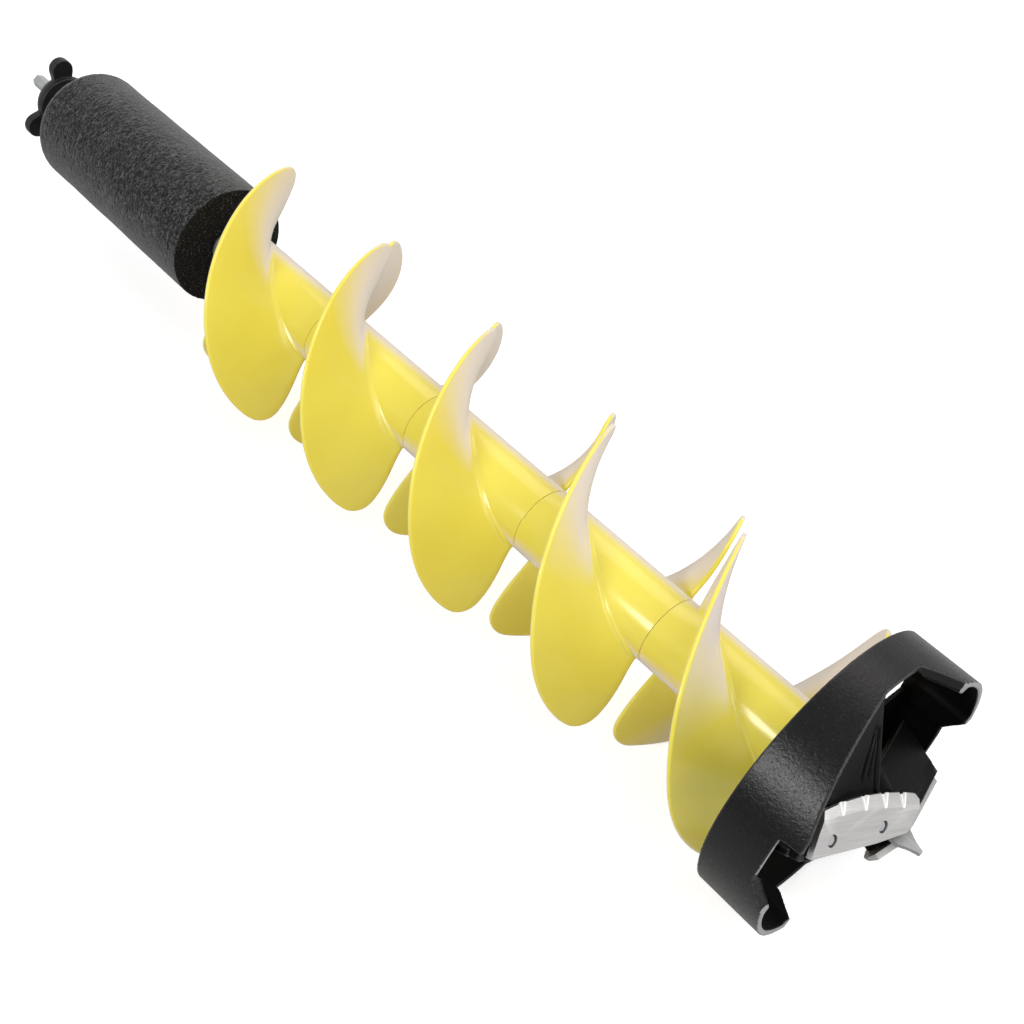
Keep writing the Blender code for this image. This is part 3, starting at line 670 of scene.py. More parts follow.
def vane_offset(radius, to_end):
    """Distance from the middle surface to the skin: full round edges, a fillet at the tube."""
    swell = 1.0
    for distance in (to_end, FLIGHT_R - radius):
        distance = min(distance, VANE_HALF)
        swell *= math.sqrt(max(0.0, 1 - (1 - distance / VANE_HALF) ** 2))
    thick = VANE_HALF * (1.0 - VANE_TAPER * (radius - TUBE_R) / (FLIGHT_R - TUBE_R))
    height = min(max(radius - TUBE_R, 0.0), FILLET)
    flare = FILLET - math.sqrt(max(0.0, FILLET**2 - (FILLET - height) ** 2))
    flare *= min(1.0, to_end / (2.5 * FILLET))
    return thick * swell + flare


def vane_normal(angle, radius):
    """Unit normal of the middle surface, towards the head."""
    da, dr = 1e-4, 1e-5
    along = vane_point(angle + da, radius) - vane_point(angle - da, radius)
    out = vane_point(angle, radius + dr) - vane_point(angle, radius - dr)
    normal = out.cross(along).normalized()
    if normal.x < 0:
        normal.negate()
    return normal


def helical_vane():
    radii, places = vane_radii(), vane_places()
    shape = bmesh.new()
    skins = []
    for sign in (1, -1):
        grid = []
        for radius in radii:
            back, fore = vane_reach(radius)
            row = []
            for place in places:
                angle = -back + (back + fore) * place
                to_end = min(place, 1 - place) * (back + fore) * math.hypot(radius, LEAD)
                offset = vane_normal(angle, radius) * sign * vane_offset(radius, to_end)
                row.append(shape.verts.new(vane_point(angle, radius) + offset))
            grid.append(row)
        skins.append(grid)
    front, back = skins
    for grid in skins:
        for a, b in zip(grid, grid[1:]):
            for j in range(len(places) - 1):
                corners = [a[j], a[j + 1], b[j + 1], b[j]]
                shape.faces.new(corners[::-1] if grid is front else corners)
    for j in range(len(places) - 1):
        shape.faces.new([front[0][j], front[0][j + 1], back[0][j + 1], back[0][j]])
    bmesh.ops.remove_doubles(shape, verts=shape.verts, dist=0.00002)
    return face_outwards(shape)


def flight_segment():
    """A hollow hub tube with two vanes, centred on the origin."""
    half = PITCH / 2 - END_GAP
    end_wall, end_bore, inner = half - 4 * MM, 11.6 * MM, TUBE_R - 3 * MM
    profile = [
        (-half, TUBE_R), (half, TUBE_R), (half, end_bore), (end_wall, end_bore),
        (end_wall, inner), (-end_wall, inner), (-end_wall, end_bore), (-half, end_bore),
    ]
    tube = helper("segment_tube", lathe(rounded(profile, 0.45 * MM, 3), 112))
    vane = helical_vane()
    opposite = half_turned(vane)
    return combine(tube, [("UNION", helper("vane_a", vane)), ("UNION", helper("vane_b", opposite))])


segment = flight_segment()
for k in range(SEGMENTS):
    # The last segment sits slightly turned.
    clock = CLOCK + (math.radians(4.0) if k == SEGMENTS - 1 else 0.0)
    place = Matrix.Translation((X_FLIGHTS + (k + 0.5) * PITCH, 0, 0))
    copy = moved(segment.copy(), place @ Matrix.Rotation(clock, 4, "X"))
    add(
        f"flight_{k + 1}_body", copy, [YELLOW], f"flight_segment_{k + 1}",
        smooth=32,
    )
segment.free()

# ------------------------------------------------------------ foam float
FOAM_SHOULDER = 9.6 * MM  # rounding of the end towards the shank
FOAM_RIM = 1.0 * MM  # rounding of the cut end
FOAM_BORE = SHAFT_R + 0.5 * MM


def foam_profile(rows):
    shoulder = []
    for i in range(13):
        turn = i / 12 * math.pi / 2
        shoulder.append((
            FOAM_X0 + FOAM_SHOULDER * (1 - math.cos(turn)),
            FOAM_R - FOAM_SHOULDER * (1 - math.sin(turn)),
        ))
    x0, face_r = shoulder[-1][0], shoulder[0][1]
    x1, cut_r = FOAM_X1 - FOAM_RIM, FOAM_R - FOAM_RIM
    start = [(FOAM_X0, FOAM_BORE + (face_r - FOAM_BORE) * i / 18) for i in range(18)]
    side = [(x0 + (x1 - x0) * i / rows, FOAM_R) for i in range(1, rows + 1)]
    rim = [
        (x1 + FOAM_RIM * math.sin(turn), cut_r + FOAM_RIM * math.cos(turn))
        for turn in (0.4, 0.8, 1.2, math.pi / 2)
    ]
    face = [(FOAM_X1, cut_r - (cut_r - FOAM_BORE) * i / 30) for i in range(1, 31)]
    return start + shoulder + side + rim + face


def foam_relief(point):
    """Height of the foam's surface relief in millimetres: ridges on the skin, grain on the cut."""
    if point.x > FOAM_X1 - 0.2 * MM:
        return 0.22 * noise.noise(point * 420.0) - 0.10
    drawn = Vector((point.x, point.y * 0.62, point.z * 0.62))
    ridge = 1 - abs(noise.noise(drawn * 330.0) + 0.6 * noise.noise(drawn * 700.0))
    return 0.55 * (ridge - 0.75) + 0.40 * noise.noise(point * 22.0) - 0.25


def foam_float():
    rows, columns = ((240, 380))
    shape = lathe(foam_profile(rows), columns)
    shape.normal_update()
    for vert in shape.verts:
        if math.hypot(vert.co.y, vert.co.z) >= SHAFT_R + 2 * MM:
            vert.co += vert.normal * foam_relief(vert.co) * MM
    for face in shape.faces:
        if face.calc_center_median().x > FOAM_X1 - 0.6 * MM:
            face.material_index = 1
    return shape


add("foam_float_body", foam_float(), [FOAM, FOAM_CUT], "foam_float", smooth=60)

# ------------------------------------------------------------ shaft and shank
SHAFT_X0, THREAD_END, SHAFT_X1 = 44.0 * MM, 68.0 * MM, 1008.0 * MM
THREAD_PITCH, THREAD_DEPTH = 1.5 * MM, 0.75 * MM
SHAFT_WALL_R = 8.5 * MM  # inside of the tube
COLLET_R = 6.7 * MM  # narrower inside of the threaded nose


def shaft_radius(x, turn):
    """Outer radius of the shaft at x and at a share of a turn."""
    radius = SHAFT_R
    if x < THREAD_END:
        phase = ((x - SHAFT_X0) / THREAD_PITCH - turn) % 1.0
        depth = THREAD_DEPTH * max(0.0, 1 - abs(phase - 0.5) * 2.4)
        radius -= depth * min(1.0, (THREAD_END - x) / (1.5 * MM))
    if x <= SHAFT_X0 + 0.01 * MM:
        radius -= 1.0 * MM
    if x >= SHAFT_X1 - 0.01 * MM:
        radius -= 0.5 * MM
    return radius


def threaded_shaft():
    """A plain tube whose nose carries the knob's thread and the collet slots."""
    segments = 64
    thread_start = SHAFT_X0 + 1.0 * MM
    length = THREAD_END - SHAFT_X0 - 1.0 * MM
    count = int(length / (THREAD_PITCH / 6))
    stations = [SHAFT_X0 + 0.001 * MM, SHAFT_X0 + 0.5 * MM, thread_start]
    stations += [thread_start + length * i / count for i in range(1, count + 1)]
    stations += [THREAD_END + 1.0 * MM, 90 * MM, 330 * MM, 700 * MM, SHAFT_X1 - 0.6 * MM, SHAFT_X1]
    bore = (
        (SHAFT_X1, SHAFT_WALL_R), (75.0 * MM, SHAFT_WALL_R), (73.2 * MM, COLLET_R),
        (SHAFT_X0, COLLET_R),
    )
    shape = bmesh.new()
    rings = [
        [
            shape.verts.new(around(x, shaft_radius(x, i / segments), TAU * i / segments))
            for i in range(segments)
        ]
        for x in stations
    ]
    rings += [circle(shape, x, radius, segments) for x, radius in bore]
    join_rings(shape, rings, closed=True)
    tube = helper("shaft_tube", face_outwards(shape))
    cuts = []
    for k in range(2):
        turn = Matrix.Rotation(math.pi / 4 + k * math.pi / 2, 4, "X")
        slot = moved(box((44 * MM, 1.4 * MM, 30 * MM)), Matrix.Translation((SHAFT_X0, 0, 0)) @ turn)
        cuts.append(("DIFFERENCE", helper(f"slot_{k}", slot)))
    return combine(tube, cuts)


def hex_shank():
    """Hexagonal bar with a chamfered end and a narrower round-up towards the shaft."""
    corner = 11.1 * MM / 2 / math.cos(math.pi / 6)  # from the width across flats
    chamfer, hex_end, end, end_r = 1.3 * MM, 99 * MM, 105 * MM, 8.2 * MM
    profile = [
        (0.0, 0.0), (0.0, corner - chamfer), (chamfer, corner), (hex_end, corner),
        (hex_end, end_r), (end, end_r), (end, 0.0),
    ]
    return moved(lathe(profile, 6, closed=False), Matrix.Rotation(-math.pi / 2, 4, "X"))


add("centre_shaft_tube", threaded_shaft(), [STEEL], "centre_shaft")
shank = add(
    "drive_shank_hex", hex_shank(), [SHANK_STEEL], "drive_shank",
    body="shank", smooth=20,
)
bevel_edges(shank, width=0.35 * MM, segments=3, degrees=25)


# ------------------------------------------------------------ small turned hardware
def turned_ring(x0, x1, outer, bore, segments):
    return lathe(rounded(ring_profile(x0, x1, outer, bore), 0.4 * MM, 3), segments)


thrust_ring = turned_ring(37.8 * MM, 43.7 * MM, outer=11.0 * MM, bore=6.9 * MM, segments=72)
add("thrust_ring_brass", thrust_ring, [BRASS], "thrust_ring", body="ring")

# Name, CAD node, x at both faces and outer radius (mm).
WASHERS = (
    ("float_ring_zinc", "float_retaining_ring", 88.9, 90.5, 14.5),
    ("upper_washer_zinc", "upper_float_washer", 90.8, 93.2, 26.0),
    ("lower_washer_zinc", "lower_float_washer", 323.8, 326.2, 16.0),
)
for name, node, x0, x1, outer in WASHERS:
    washer = turned_ring(x0 * MM, x1 * MM, outer * MM, SHAFT_BORE, segments=96)
    add(name, washer, [ZINC], node)

COLLAR_X0, COLLAR_X1, COLLAR_R = 326.5 * MM, 336.5 * MM, 15.6 * MM


def collar_drill(radius, start, end, segments):
    """A cylinder along the collar's screw, between two distances from the axis (mm)."""
    x = (COLLAR_X0 + COLLAR_X1) / 2
    return cylinder(radius, radial(60, start * MM, x), radial(60, end * MM, x), segments)


def stop_collar():
    profile = ring_profile(COLLAR_X0, COLLAR_X1, COLLAR_R, SHAFT_BORE)
    collar = helper("collar", lathe(rounded(profile, 0.8 * MM, 4), 72))
    hole = helper("collar_hole", collar_drill(2.8 * MM, 5, 30, 24))
    return combine(collar, [("DIFFERENCE", hole)])


def grub_screw():
    screw = helper("set_screw", collar_drill(2.4 * MM, 11.5, 14.8, 24))
    socket = helper("set_screw_socket", collar_drill(1.3 * MM, 13.0, 20, 6))
    return combine(screw, [("DIFFERENCE", socket)])


def end_cap():
    """Tapered cap against the first flight, with one rounded lug."""
    x0, x1 = 336.8 * MM, X_FLIGHTS - 0.3 * MM
    profile = [
        (x0, 20.5 * MM), (338.3 * MM, 22 * MM), (x1, 23.5 * MM), (x1, SHAFT_BORE), (x0, SHAFT_BORE),
    ]
    cap = helper("end_cap", lathe(rounded(profile, 0.5 * MM, 3), 72))
    lug_angle = -38
    lug = box((7 * MM, 11 * MM, 6 * MM))
    bmesh.ops.bevel(
        lug, geom=lug.edges[:], offset=1.2 * MM, segments=3, affect="EDGES", profile=0.5,
    )
    moved(
        lug,
        Matrix.Translation(radial(lug_angle, 24.2 * MM, X_FLIGHTS - 4.2 * MM))
        @ Matrix.Rotation(CLOCK + math.radians(lug_angle), 4, "X")
        @ Matrix.Rotation(math.pi / 2, 4, "X"),
    )
    return combine(cap, [("UNION", helper("cap_lug", lug))])


add("stop_collar_zinc", stop_collar(), [ZINC], "stop_collar")
add("collar_grub_screw", grub_screw(), [ZINC], "collar_set_screw")
add("end_cap_yellow", end_cap(), [YELLOW], "flight_end_cap")

# ------------------------------------------------------------ clamp knob
KNOB_TIP = 43.3 * MM  # reach of the three lobes
LOBE = 10.3 * MM  # radius of a lobe's round end
LOBE_WAIST = 0.82 * LOBE  # half width of a lobe nearer the hub
KNOB_WEB_R = 24.5 * MM  # radius between the lobes
KNOB_TURN = -40.0  # degrees from the auger's zero to the first lobe
# Closed outline of the hub: x and radius (mm).
KNOB_HUB = (
    (33, 11.5), (34.5, 14), (37, 16), (42, 21.5), (46, 25.5), (49, 26.5), (56, 26.5),
    (56, 11.3), (37.5, 11.3), (37.5, 7), (33, 7),
)


def lobe_radius(angle):
    centre = KNOB_TIP - LOBE
    best = KNOB_WEB_R
    for k in range(3):
        off = abs((angle - k * TAU / 3 + math.pi) % TAU - math.pi)
        if off >= math.pi / 2:
            continue
        aside = centre * math.sin(off)
        if aside < LOBE:
            best = max(best, centre * math.cos(off) + math.sqrt(LOBE**2 - aside**2))
        best = max(best, min(LOBE_WAIST / max(math.sin(off), 1e-3), centre))
    return best


def knob_wings():
    """The three-lobed plate, with a round hole."""
    shape = bmesh.new()
    segments = 180
    faces_x = (43.5 * MM, 52.0 * MM)
    outer = []
    for x in faces_x:
        row = []
        for i in range(segments):
            angle = TAU * i / segments
            place = CLOCK + math.radians(KNOB_TURN) + angle
            row.append(shape.verts.new(around(x, lobe_radius(angle), place)))
        outer.append(row)
    inner = [circle(shape, x, 14.6 * MM, segments, start=CLOCK) for x in faces_x]
    # The hole's rings start at the auger's zero, so they are stepped round to match the lobes.
    shift = round(KNOB_TURN / 360 * segments)
    inner = [ring[shift:] + ring[:shift] for ring in inner]
    join_rings(shape, [outer[0], outer[1], inner[1], inner[0]], closed=True)
    return face_outwards(shape)


def clamp_knob():
    profile = [(x * MM, radius * MM) for x, radius in KNOB_HUB]
    hub = helper("knob_hub", lathe(rounded(profile, 1.6 * MM, 5), 96))
    joined = combine(hub, [("UNION", helper("knob_wings", knob_wings()))])
    return softened("knob_union", joined, voxel=0.55 * MM, passes=6)


add(
    "clamp_knob_body", clamp_knob(), [KNOB_BLACK], "clamp_knob",
    body="knob", smooth=None,
)

# ------------------------------------------------------------ blade frame
# x runs along the blade from its outer end inwards, y towards the toothed edge,
# z out of the flat face that lies at z = 0.
BLADE_ORIGIN = Vector((1022.1, -77.9, 57.1)) * MM
BLADE_X = Vector((0.2494, 0.8152, -0.5227)).normalized()
BLADE_Z = Vector((0.8796, 0.0351, 0.4744))
BLADE_Z = (BLADE_Z - BLADE_X * BLADE_Z.dot(BLADE_X)).normalized()
BLADE_Y = BLADE_Z.cross(BLADE_X)
BLADE_AXES = Matrix((BLADE_X, BLADE_Y, BLADE_Z)).transposed().to_4x4()
BLADE_FRAME = Matrix.Translation(BLADE_ORIGIN) @ BLADE_AXES
BLADE_HOLES = ((23.5 * MM, 3.2 * MM), (69.5 * MM, 7.2 * MM))

# ------------------------------------------------------------ cutting head
WALL = 4.0  # thickness of the skirt (mm)
THICKER = 3.8  # extra thickness (mm) around two places, in degrees
THICKER_AT = (55.0, 118.0)
# Lower edge of the skirt over half a turn: degrees, and depth from X_HEAD (mm).
SKIRT_EDGE = (
    (-54.0, 26.7), (-34.0, 26.7), (9.0, 45.2), (21.0, 51.0), (26.0, 51.5),
    (26.9, 37.0), (48.0, 36.6), (59.0, 49.6), (114.0, 49.6), (126.0, 26.7),
)
SKIRT_START, SKIRT_END = SKIRT_EDGE[0][0], SKIRT_EDGE[-1][0]
RAMP_START = -35.5  # degrees
# Pad under the blade: outline in the blade's frame (mm), and its z range.
PAD_EDGE = (
    (2.5, -9), (3.0, 8), (6, 19.4), (12.5, 20.8), (22, 22.8), (34, 25.0), (47, 26.2),
    (60, 26.6), (73, 26.2), (84, 25.0), (94, 22.6), (97, 14), (91, 2), (64, -6),
)
PAD_LOW, PAD_HIGH = -12.4 * MM, -4.3 * MM
# Closed outline of the hub: x from X_HEAD and radius (mm).
HEAD_HUB = (
    (0.3, 27), (30, 27), (65, 12.5), (65, 5.4), (40, 5.4), (40, 11.3), (0.3, 11.3),
)
# Grooves in the ramp: path of (along, across) shares of the ramp, and radius.
GROOVES = (
    (((0.80, 0.68), (0.58, 0.64), (0.44, 0.64), (0.27, 0.60)), 1.7 * MM),
    (((0.76, 0.77), (0.58, 0.765), (0.42, 0.76), (0.27, 0.70)), 1.25 * MM),
    (((0.94, 0.93), (0.86, 0.92), (0.66, 0.88), (0.44, 0.85), (0.27, 0.80)), 1.35 * MM),
)


def half_circle_angle(degrees):
    """The angle brought into the half turn that SKIRT_EDGE covers."""
    return (degrees - SKIRT_START) % 180.0 + SKIRT_START


def skirt_depth(degrees):
    degrees = half_circle_angle(degrees)
    for (a0, depth0), (a1, depth1) in zip(SKIRT_EDGE, SKIRT_EDGE[1:]):
        if degrees <= a1:
            return (depth0 + (depth1 - depth0) * (degrees - a0) / (a1 - a0)) * MM


def wall_thickening(degrees):
    """1 within 6 degrees of the thicker places, fading to 0 over 1.5 degrees more."""
    degrees = half_circle_angle(degrees)
    return max(
        max(0.0, 1 - max(0.0, abs(degrees - place) - 6.0) / 1.5) for place in THICKER_AT
    )


def skirt_angles():
    """Every 1.5 degrees, and at each corner of the edge."""
    angles = []
    angle = SKIRT_START
    while angle < SKIRT_END - 1e-6:
        angles.append(angle)
        corner = min([a for a, _ in SKIRT_EDGE if a > angle + 1e-6])
        angle = min(angle + 1.5, corner)
    return angles + [a + 180 for a in angles]


def skirt():
    shape = bmesh.new()
    outer, inner = [], []
    levels = (0.0, 0.33, 0.66, 1.0)
    for angle in skirt_angles():
        depth = skirt_depth(angle)
        thick = (WALL + THICKER * wall_thickening(angle)) * MM
        outer.append([
            shape.verts.new(radial(angle, HEAD_R, X_HEAD + depth * level)) for level in levels
        ])
        row = []
        for level in levels:
            wall = thick if level > 0.3 else WALL * MM
            row.append(shape.verts.new(radial(angle, HEAD_R - wall, X_HEAD + depth * level)))
        inner.append(row)
    for i in range(len(outer)):
        j = (i + 1) % len(outer)
        out_a, out_b, in_a, in_b = outer[i], outer[j], inner[i], inner[j]
        for k in range(len(levels) - 1):
            shape.faces.new([out_a[k], out_b[k], out_b[k + 1], out_a[k + 1]])
            shape.faces.new([in_a[k], in_a[k + 1], in_b[k + 1], in_b[k]])
        shape.faces.new([out_a[-1], out_b[-1], in_b[-1], in_a[-1]])
        shape.faces.new([out_a[0], in_a[0], in_b[0], out_b[0]])
    return face_outwards(shape)


def ramp_point(along, across):
    """The ramp's face towards high x: along from its start to the blade, across from the wall."""
    edge = skirt_depth(RAMP_START + along * 44.5) - (2.4 + 3.4 * along * along) * MM
    outer = radial(RAMP_START + along * 47.5, 0.972 * HEAD_R, X_HEAD + edge)
    start = radial(RAMP_START, 0.90 * HEAD_R, X_HEAD + 24.2 * MM)
    under_blade = BLADE_FRAME @ Vector((70 * MM, 18 * MM, -8 * MM))
    point = outer.lerp(start.lerp(under_blade, along), across)
    point.x += (1.8 - 4 * math.sin(math.pi * across) * along * along) * MM
    return point


def ramp():
    columns, rows = 8, 26
    thickness = Vector((4.4 * MM, 0, 0))
    top, low = [], []
    shape = bmesh.new()
    for i in range(rows + 1):
        top.append([])
        low.append([])
        for j in range(columns + 1):
            point = ramp_point(i / rows, j / columns)
            top[-1].append(shape.verts.new(point))
            low[-1].append(shape.verts.new(point - thickness))
    for i in range(rows):
        top_a, top_b, low_a, low_b = top[i], top[i + 1], low[i], low[i + 1]
        for j in range(columns):
            shape.faces.new([top_a[j], top_b[j], top_b[j + 1], top_a[j + 1]])
            shape.faces.new([low_a[j], low_a[j + 1], low_b[j + 1], low_b[j]])
        shape.faces.new([top_a[0], low_a[0], low_b[0], top_b[0]])
        shape.faces.new([top_a[-1], top_b[-1], low_b[-1], low_a[-1]])
    for j in range(columns):
        shape.faces.new([top[0][j], top[0][j + 1], low[0][j + 1], low[0][j]])
        shape.faces.new([top[-1][j], low[-1][j], low[-1][j + 1], top[-1][j + 1]])
    return face_outwards(shape)


def shelf():
    """A narrow shelf inside the skirt, at its edge towards the shank."""
    corners = ((70, 0.7), (99, 0.7), (99, 3.7), (70, 3.7))  # radius, and x from X_HEAD (mm)
    shape = bmesh.new()
    rings = [
        [
            shape.verts.new(radial(-165.0 + 36.0 * i / 24, radius * MM, X_HEAD + x * MM))
            for radius, x in corners
        ]
        for i in range(25)
    ]
    return capped(shape, rings)


def groove(path, radius, steps=6):
    """A round-bottomed cutter along a path on the ramp, with narrower ends."""
    points = []
    for (along0, across0), (along1, across1) in zip(path, path[1:]):
        for i in range(steps):
            points.append(ramp_point(
                along0 + (along1 - along0) * i / steps, across0 + (across1 - across0) * i / steps,
            ))
    points.append(ramp_point(*path[-1]))
    shape = bmesh.new()
    rings = []
    last = len(points) - 1
    for i, point in enumerate(points):
        ahead = (points[min(i + 1, last)] - points[max(i - 1, 0)]).normalized()
        side = ahead.cross(Vector((1, 0, 0))).normalized()
        up = side.cross(ahead).normalized()
        size = radius * (0.55 if i in (0, last) else 1.0)
        ring = []
        for k in range(16):
            angle = TAU * k / 16
            offset = point + side * size * math.cos(angle) + up * size * math.sin(angle)
            ring.append(shape.verts.new(offset))
        rings.append(ring)
    return capped(shape, rings)


def paired(operation, name, shape):
    """Boolean steps for a shape and its twin half a turn away."""
    twin = half_turned(shape)
    return [(operation, helper(name, shape)), (operation, helper(name + "_twin", twin))]


def head_steps():
    """Everything joined to the skirt and then cut from it, in order."""
    hub = lathe([(X_HEAD + x * MM, radius * MM) for x, radius in HEAD_HUB], 64)
    steps = [("UNION", helper("h_hub", hub))]
    pad = moved(plate(PAD_EDGE, PAD_LOW, PAD_HIGH), BLADE_FRAME)
    spoke_place = BLADE_FRAME @ Matrix.Translation((38 * MM, -5.4 * MM, -27 * MM))
    spoke = moved(box((78 * MM, 5 * MM, 34 * MM)), spoke_place)
    for i, shape in enumerate((pad, spoke, ramp(), shelf())):
        steps += paired("UNION", f"h_{i}", shape)
    for i, (path, radius) in enumerate(GROOVES):
        steps += paired("DIFFERENCE", f"g_{i}", groove(path, radius))
    back = -24 * MM
    for k, (x, y) in enumerate(BLADE_HOLES):
        # The screw's hole, then the wider recess for its head.
        for radius, top in ((3.4 * MM, 0), (7.0 * MM, PAD_LOW)):
            start, end = BLADE_FRAME @ Vector((x, y, back)), BLADE_FRAME @ Vector((x, y, top))
            steps += paired("DIFFERENCE", f"c_{k}", cylinder(radius, start, end))
    bolt_x = X_HEAD + 17 * MM
    bolt = cylinder(3.4 * MM, radial(90, -40 * MM, bolt_x), radial(90, 40 * MM, bolt_x))
    steps.append(("DIFFERENCE", helper("c_bolt", bolt)))
    return steps


def head_slot(face):
    """Material slot of a face: 0 black skin, 1 worn grey end faces, 2 darker inside, painted shade."""
    centre, along = face.calc_center_median(), face.normal.x
    depth = centre.x - X_HEAD
    reach = math.hypot(centre.y, centre.z)
    outward = (face.normal.y * centre.y + face.normal.z * centre.z) / max(reach, 1e-6)
    angle = math.degrees(math.atan2(centre.z, centre.y))
    half_angle = angle % 180
    if depth > 48.4 * MM and reach > 90 * MM:
        worn = outward < 0.85 and along > 0.25 and not 115 < half_angle < 155
        return 1 if worn else 0
    at_wall = reach > HEAD_R - 5 * MM
    if depth > 35.5 * MM and at_wall and along > 0.6 and 27 < half_angle < 49:
        return 1
    at_wall = reach > HEAD_R - 4.6 * MM
    if depth > 25.5 * MM and at_wall and along > 0.55 and outward < 0.7 and 145 < angle < 163:
        return 1
    # Faces inside the head take the darker copy: painted shade.
    if reach < 95.5 * MM or (reach < HEAD_R - 3.0 * MM and outward < -0.5):
        return 2
    return 0


def cutting_head():
    steps = head_steps()
    joined = combine(helper("head_union", skirt()), steps, "MANIFOLD")
    voxel = 0.8 * MM
    shape = softened("head_solid", joined, voxel, passes=3)
    # Brings the softened outer wall back to a true cylinder.
    for vert in shape.verts:
        reach = math.hypot(vert.co.y, vert.co.z)
        if reach > HEAD_R - 0.25 * MM:
            vert.co.y *= HEAD_R / reach
            vert.co.z *= HEAD_R / reach
    shape.normal_update()
    for face in shape.faces:
        face.material_index = head_slot(face)
    return shape


add(
    "cutting_head_body", cutting_head(), [HEAD_BLACK, FOOT_GREY, HEAD_INNER_SHADED],
    "cutting_head", smooth=None,
)

# ------------------------------------------------------------ blades
# The toothed edge is an arch between two corners (mm).
EDGE_START, EDGE_END = (13.4, 21.4), (99.0, 24.5)
EDGE_RISE = 4.1
# The outline before and after the toothed edge (mm).
OUTER_END = [(7.4, -6.4), (9.4, 3.5), (10.6, 9.5), (12.1, 15.5), EDGE_START]
INNER_END = [(99.0, 24.4), (103.0, 21.0), (102.6, 15.0), (94.8, 1.2), (65.0, -2.6)]
GASHES_X = (24.5, 45.2, 64.0, 82.3)  # gashes between the teeth (mm)


def blade_material(name, matrix):
    """Ground stainless: lines along the blade on the flats, across it on the bevel."""
    kit = Kit(name)
    dark, light, bevel_grey = (0.54, 0.54, 0.535), (0.69, 0.69, 0.68), (0.36, 0.36, 0.355)

    inverse = matrix.inverted()
    local = kit.mapping(rotation=inverse.to_euler("XYZ"), location=inverse.translation)
    height = kit.split(local)["Z"]
    lengthwise = kit.mapping(scale=(0.03, 1.0, 1.0), vector=local)
    crosswise = kit.mapping(scale=(1.0, 0.05, 0.05), vector=local)
    along = kit.noise(scale=900.0, detail=4.0, rough=0.65, vector=lengthwise)
    across = kit.noise(scale=900.0, detail=4.0, rough=0.65, vector=crosswise)
    bevel = kit.fade(kit.times(height, -1.0), start=0.0001, end=0.0004)
    lines = kit.mix(bevel, along, across)
    smudge = kit.noise(scale=60.0, detail=4.0, rough=0.6, vector=local)
    colour = kit.mix(kit.fade(lines, start=0.3, end=0.7), dark, light)
    colour = kit.mix(bevel, colour, bevel_grey, share=0.75)
    marks = kit.add(kit.times(lines, 0.22), kit.times(smudge, 0.14))
    kit.set(
        Base_Color=colour,
        Metallic=0.92,
        Roughness=kit.add(marks, kit.vary((bevel, 0.06), base=0.20)),
        Normal=kit.bump(lines, strength=0.16, distance=0.00012),
    )
    return kit.mat


def blade_outline():
    (x0, y0), (x1, y1) = EDGE_START, EDGE_END
    edge = []
    for i in range(1, 24):
        t = i / 24
        arch = EDGE_RISE * 4 * t * (1 - t) * (1.12 - 0.22 * t)
        edge.append((x0 + (x1 - x0) * t, y0 + (y1 - y0) * t + arch))
    return OUTER_END + edge + INNER_END


def bevel_start(x):
    """Where the ground bevel begins, in millimetres across the blade: a shallow arch."""
    t = (x - 56.0) / 44.3
    return 19.6 - 3.55 * t * t


def gash_section(x, y, half, low, rise, top):
    """A rounded trough, open at the top."""
    floor = [(x + s * half, y, low + rise * s * s) for s in (-1.0, -0.6, -0.2, 0.2, 0.6, 1.0)]
    return floor + [(x + half, y, top), (x - half, y, top)]


def bevel_cutter():
    sections = []
    for i in range(27):
        x = -6 + 120 * i / 26
        y = bevel_start(min(max(x, 9.0), 103.0))
        sections.append([(x, y, 0.0), (x, y + 20, -7.2), (x, y + 20, 8.0), (x, y, 8.0)])
    return prism(sections)


def gash_cutter(x):
    """A trough that widens and falls towards the edge."""
    y = bevel_start(x + 3.8) - 0.7
    near = gash_section(x + 3.8, y, half=1.8, low=0.04, rise=0.5, top=4.0)
    far = gash_section(x + 4.6, y + 18, half=8.6, low=-10.0, rise=5.0, top=6.0)
    return prism([near, far])


def ground_blade():
    """The blade in its own frame; the gash slopes facing its inner end take slot 1, brighter steel that
    is freshly ground and painted as lit.
    """
    base = helper("blade_plate", plate(blade_outline(), -4.0 * MM, 0.0))
    cuts = [("DIFFERENCE", helper("bevel", bevel_cutter()))]
    for k, x in enumerate(GASHES_X):
        cuts.append(("DIFFERENCE", helper(f"gash_{k}", gash_cutter(x))))
    for k, (x, y) in enumerate(BLADE_HOLES):
        hole = cylinder(4.0 * MM, (x, y, -6 * MM), (x, y, 3 * MM), 48)
        cuts.append(("DIFFERENCE", helper(f"hole_{k}", hole)))
    shape = combine(base, cuts)
    shape.normal_update()
    for face in shape.faces:
        centre, normal = face.calc_center_median() / MM, face.normal
        in_bevel = centre.y > bevel_start(centre.x) - 0.5
        # Only gash slopes facing along the blade towards its inner end take the brighter steel: painted
        # light on that side.
        if in_bevel and 0.15 < normal.z < 0.925 and normal.x > -0.05:
            face.material_index = 1
    return shape


def blade_screw(x, y):
    """A screw with a domed hexagonal head, in the blade's frame."""
    shaft = helper("screw_shaft", cylinder(3.0 * MM, (x, y, -14 * MM), (x, y, -1.2 * MM)))
    head = bmesh.new()
    bmesh.ops.create_cone(
        head, cap_ends=True, segments=6, radius1=5.6 * MM, radius2=5.6 * MM, depth=4 * MM,
    )
    bmesh.ops.translate(head, vec=(x, y, -14.7 * MM), verts=head.verts)
    dome = cylinder(
        5.7 * MM, (x, y, -12.6 * MM), (x, y, -17.0 * MM), segments=48, end_radius=4.3 * MM,
    )
    hexagon = combine(helper("screw_hexagon", head), [("INTERSECT", helper("dome", dome))])
    return combine(shaft, [("UNION", helper("screw_head", hexagon))])


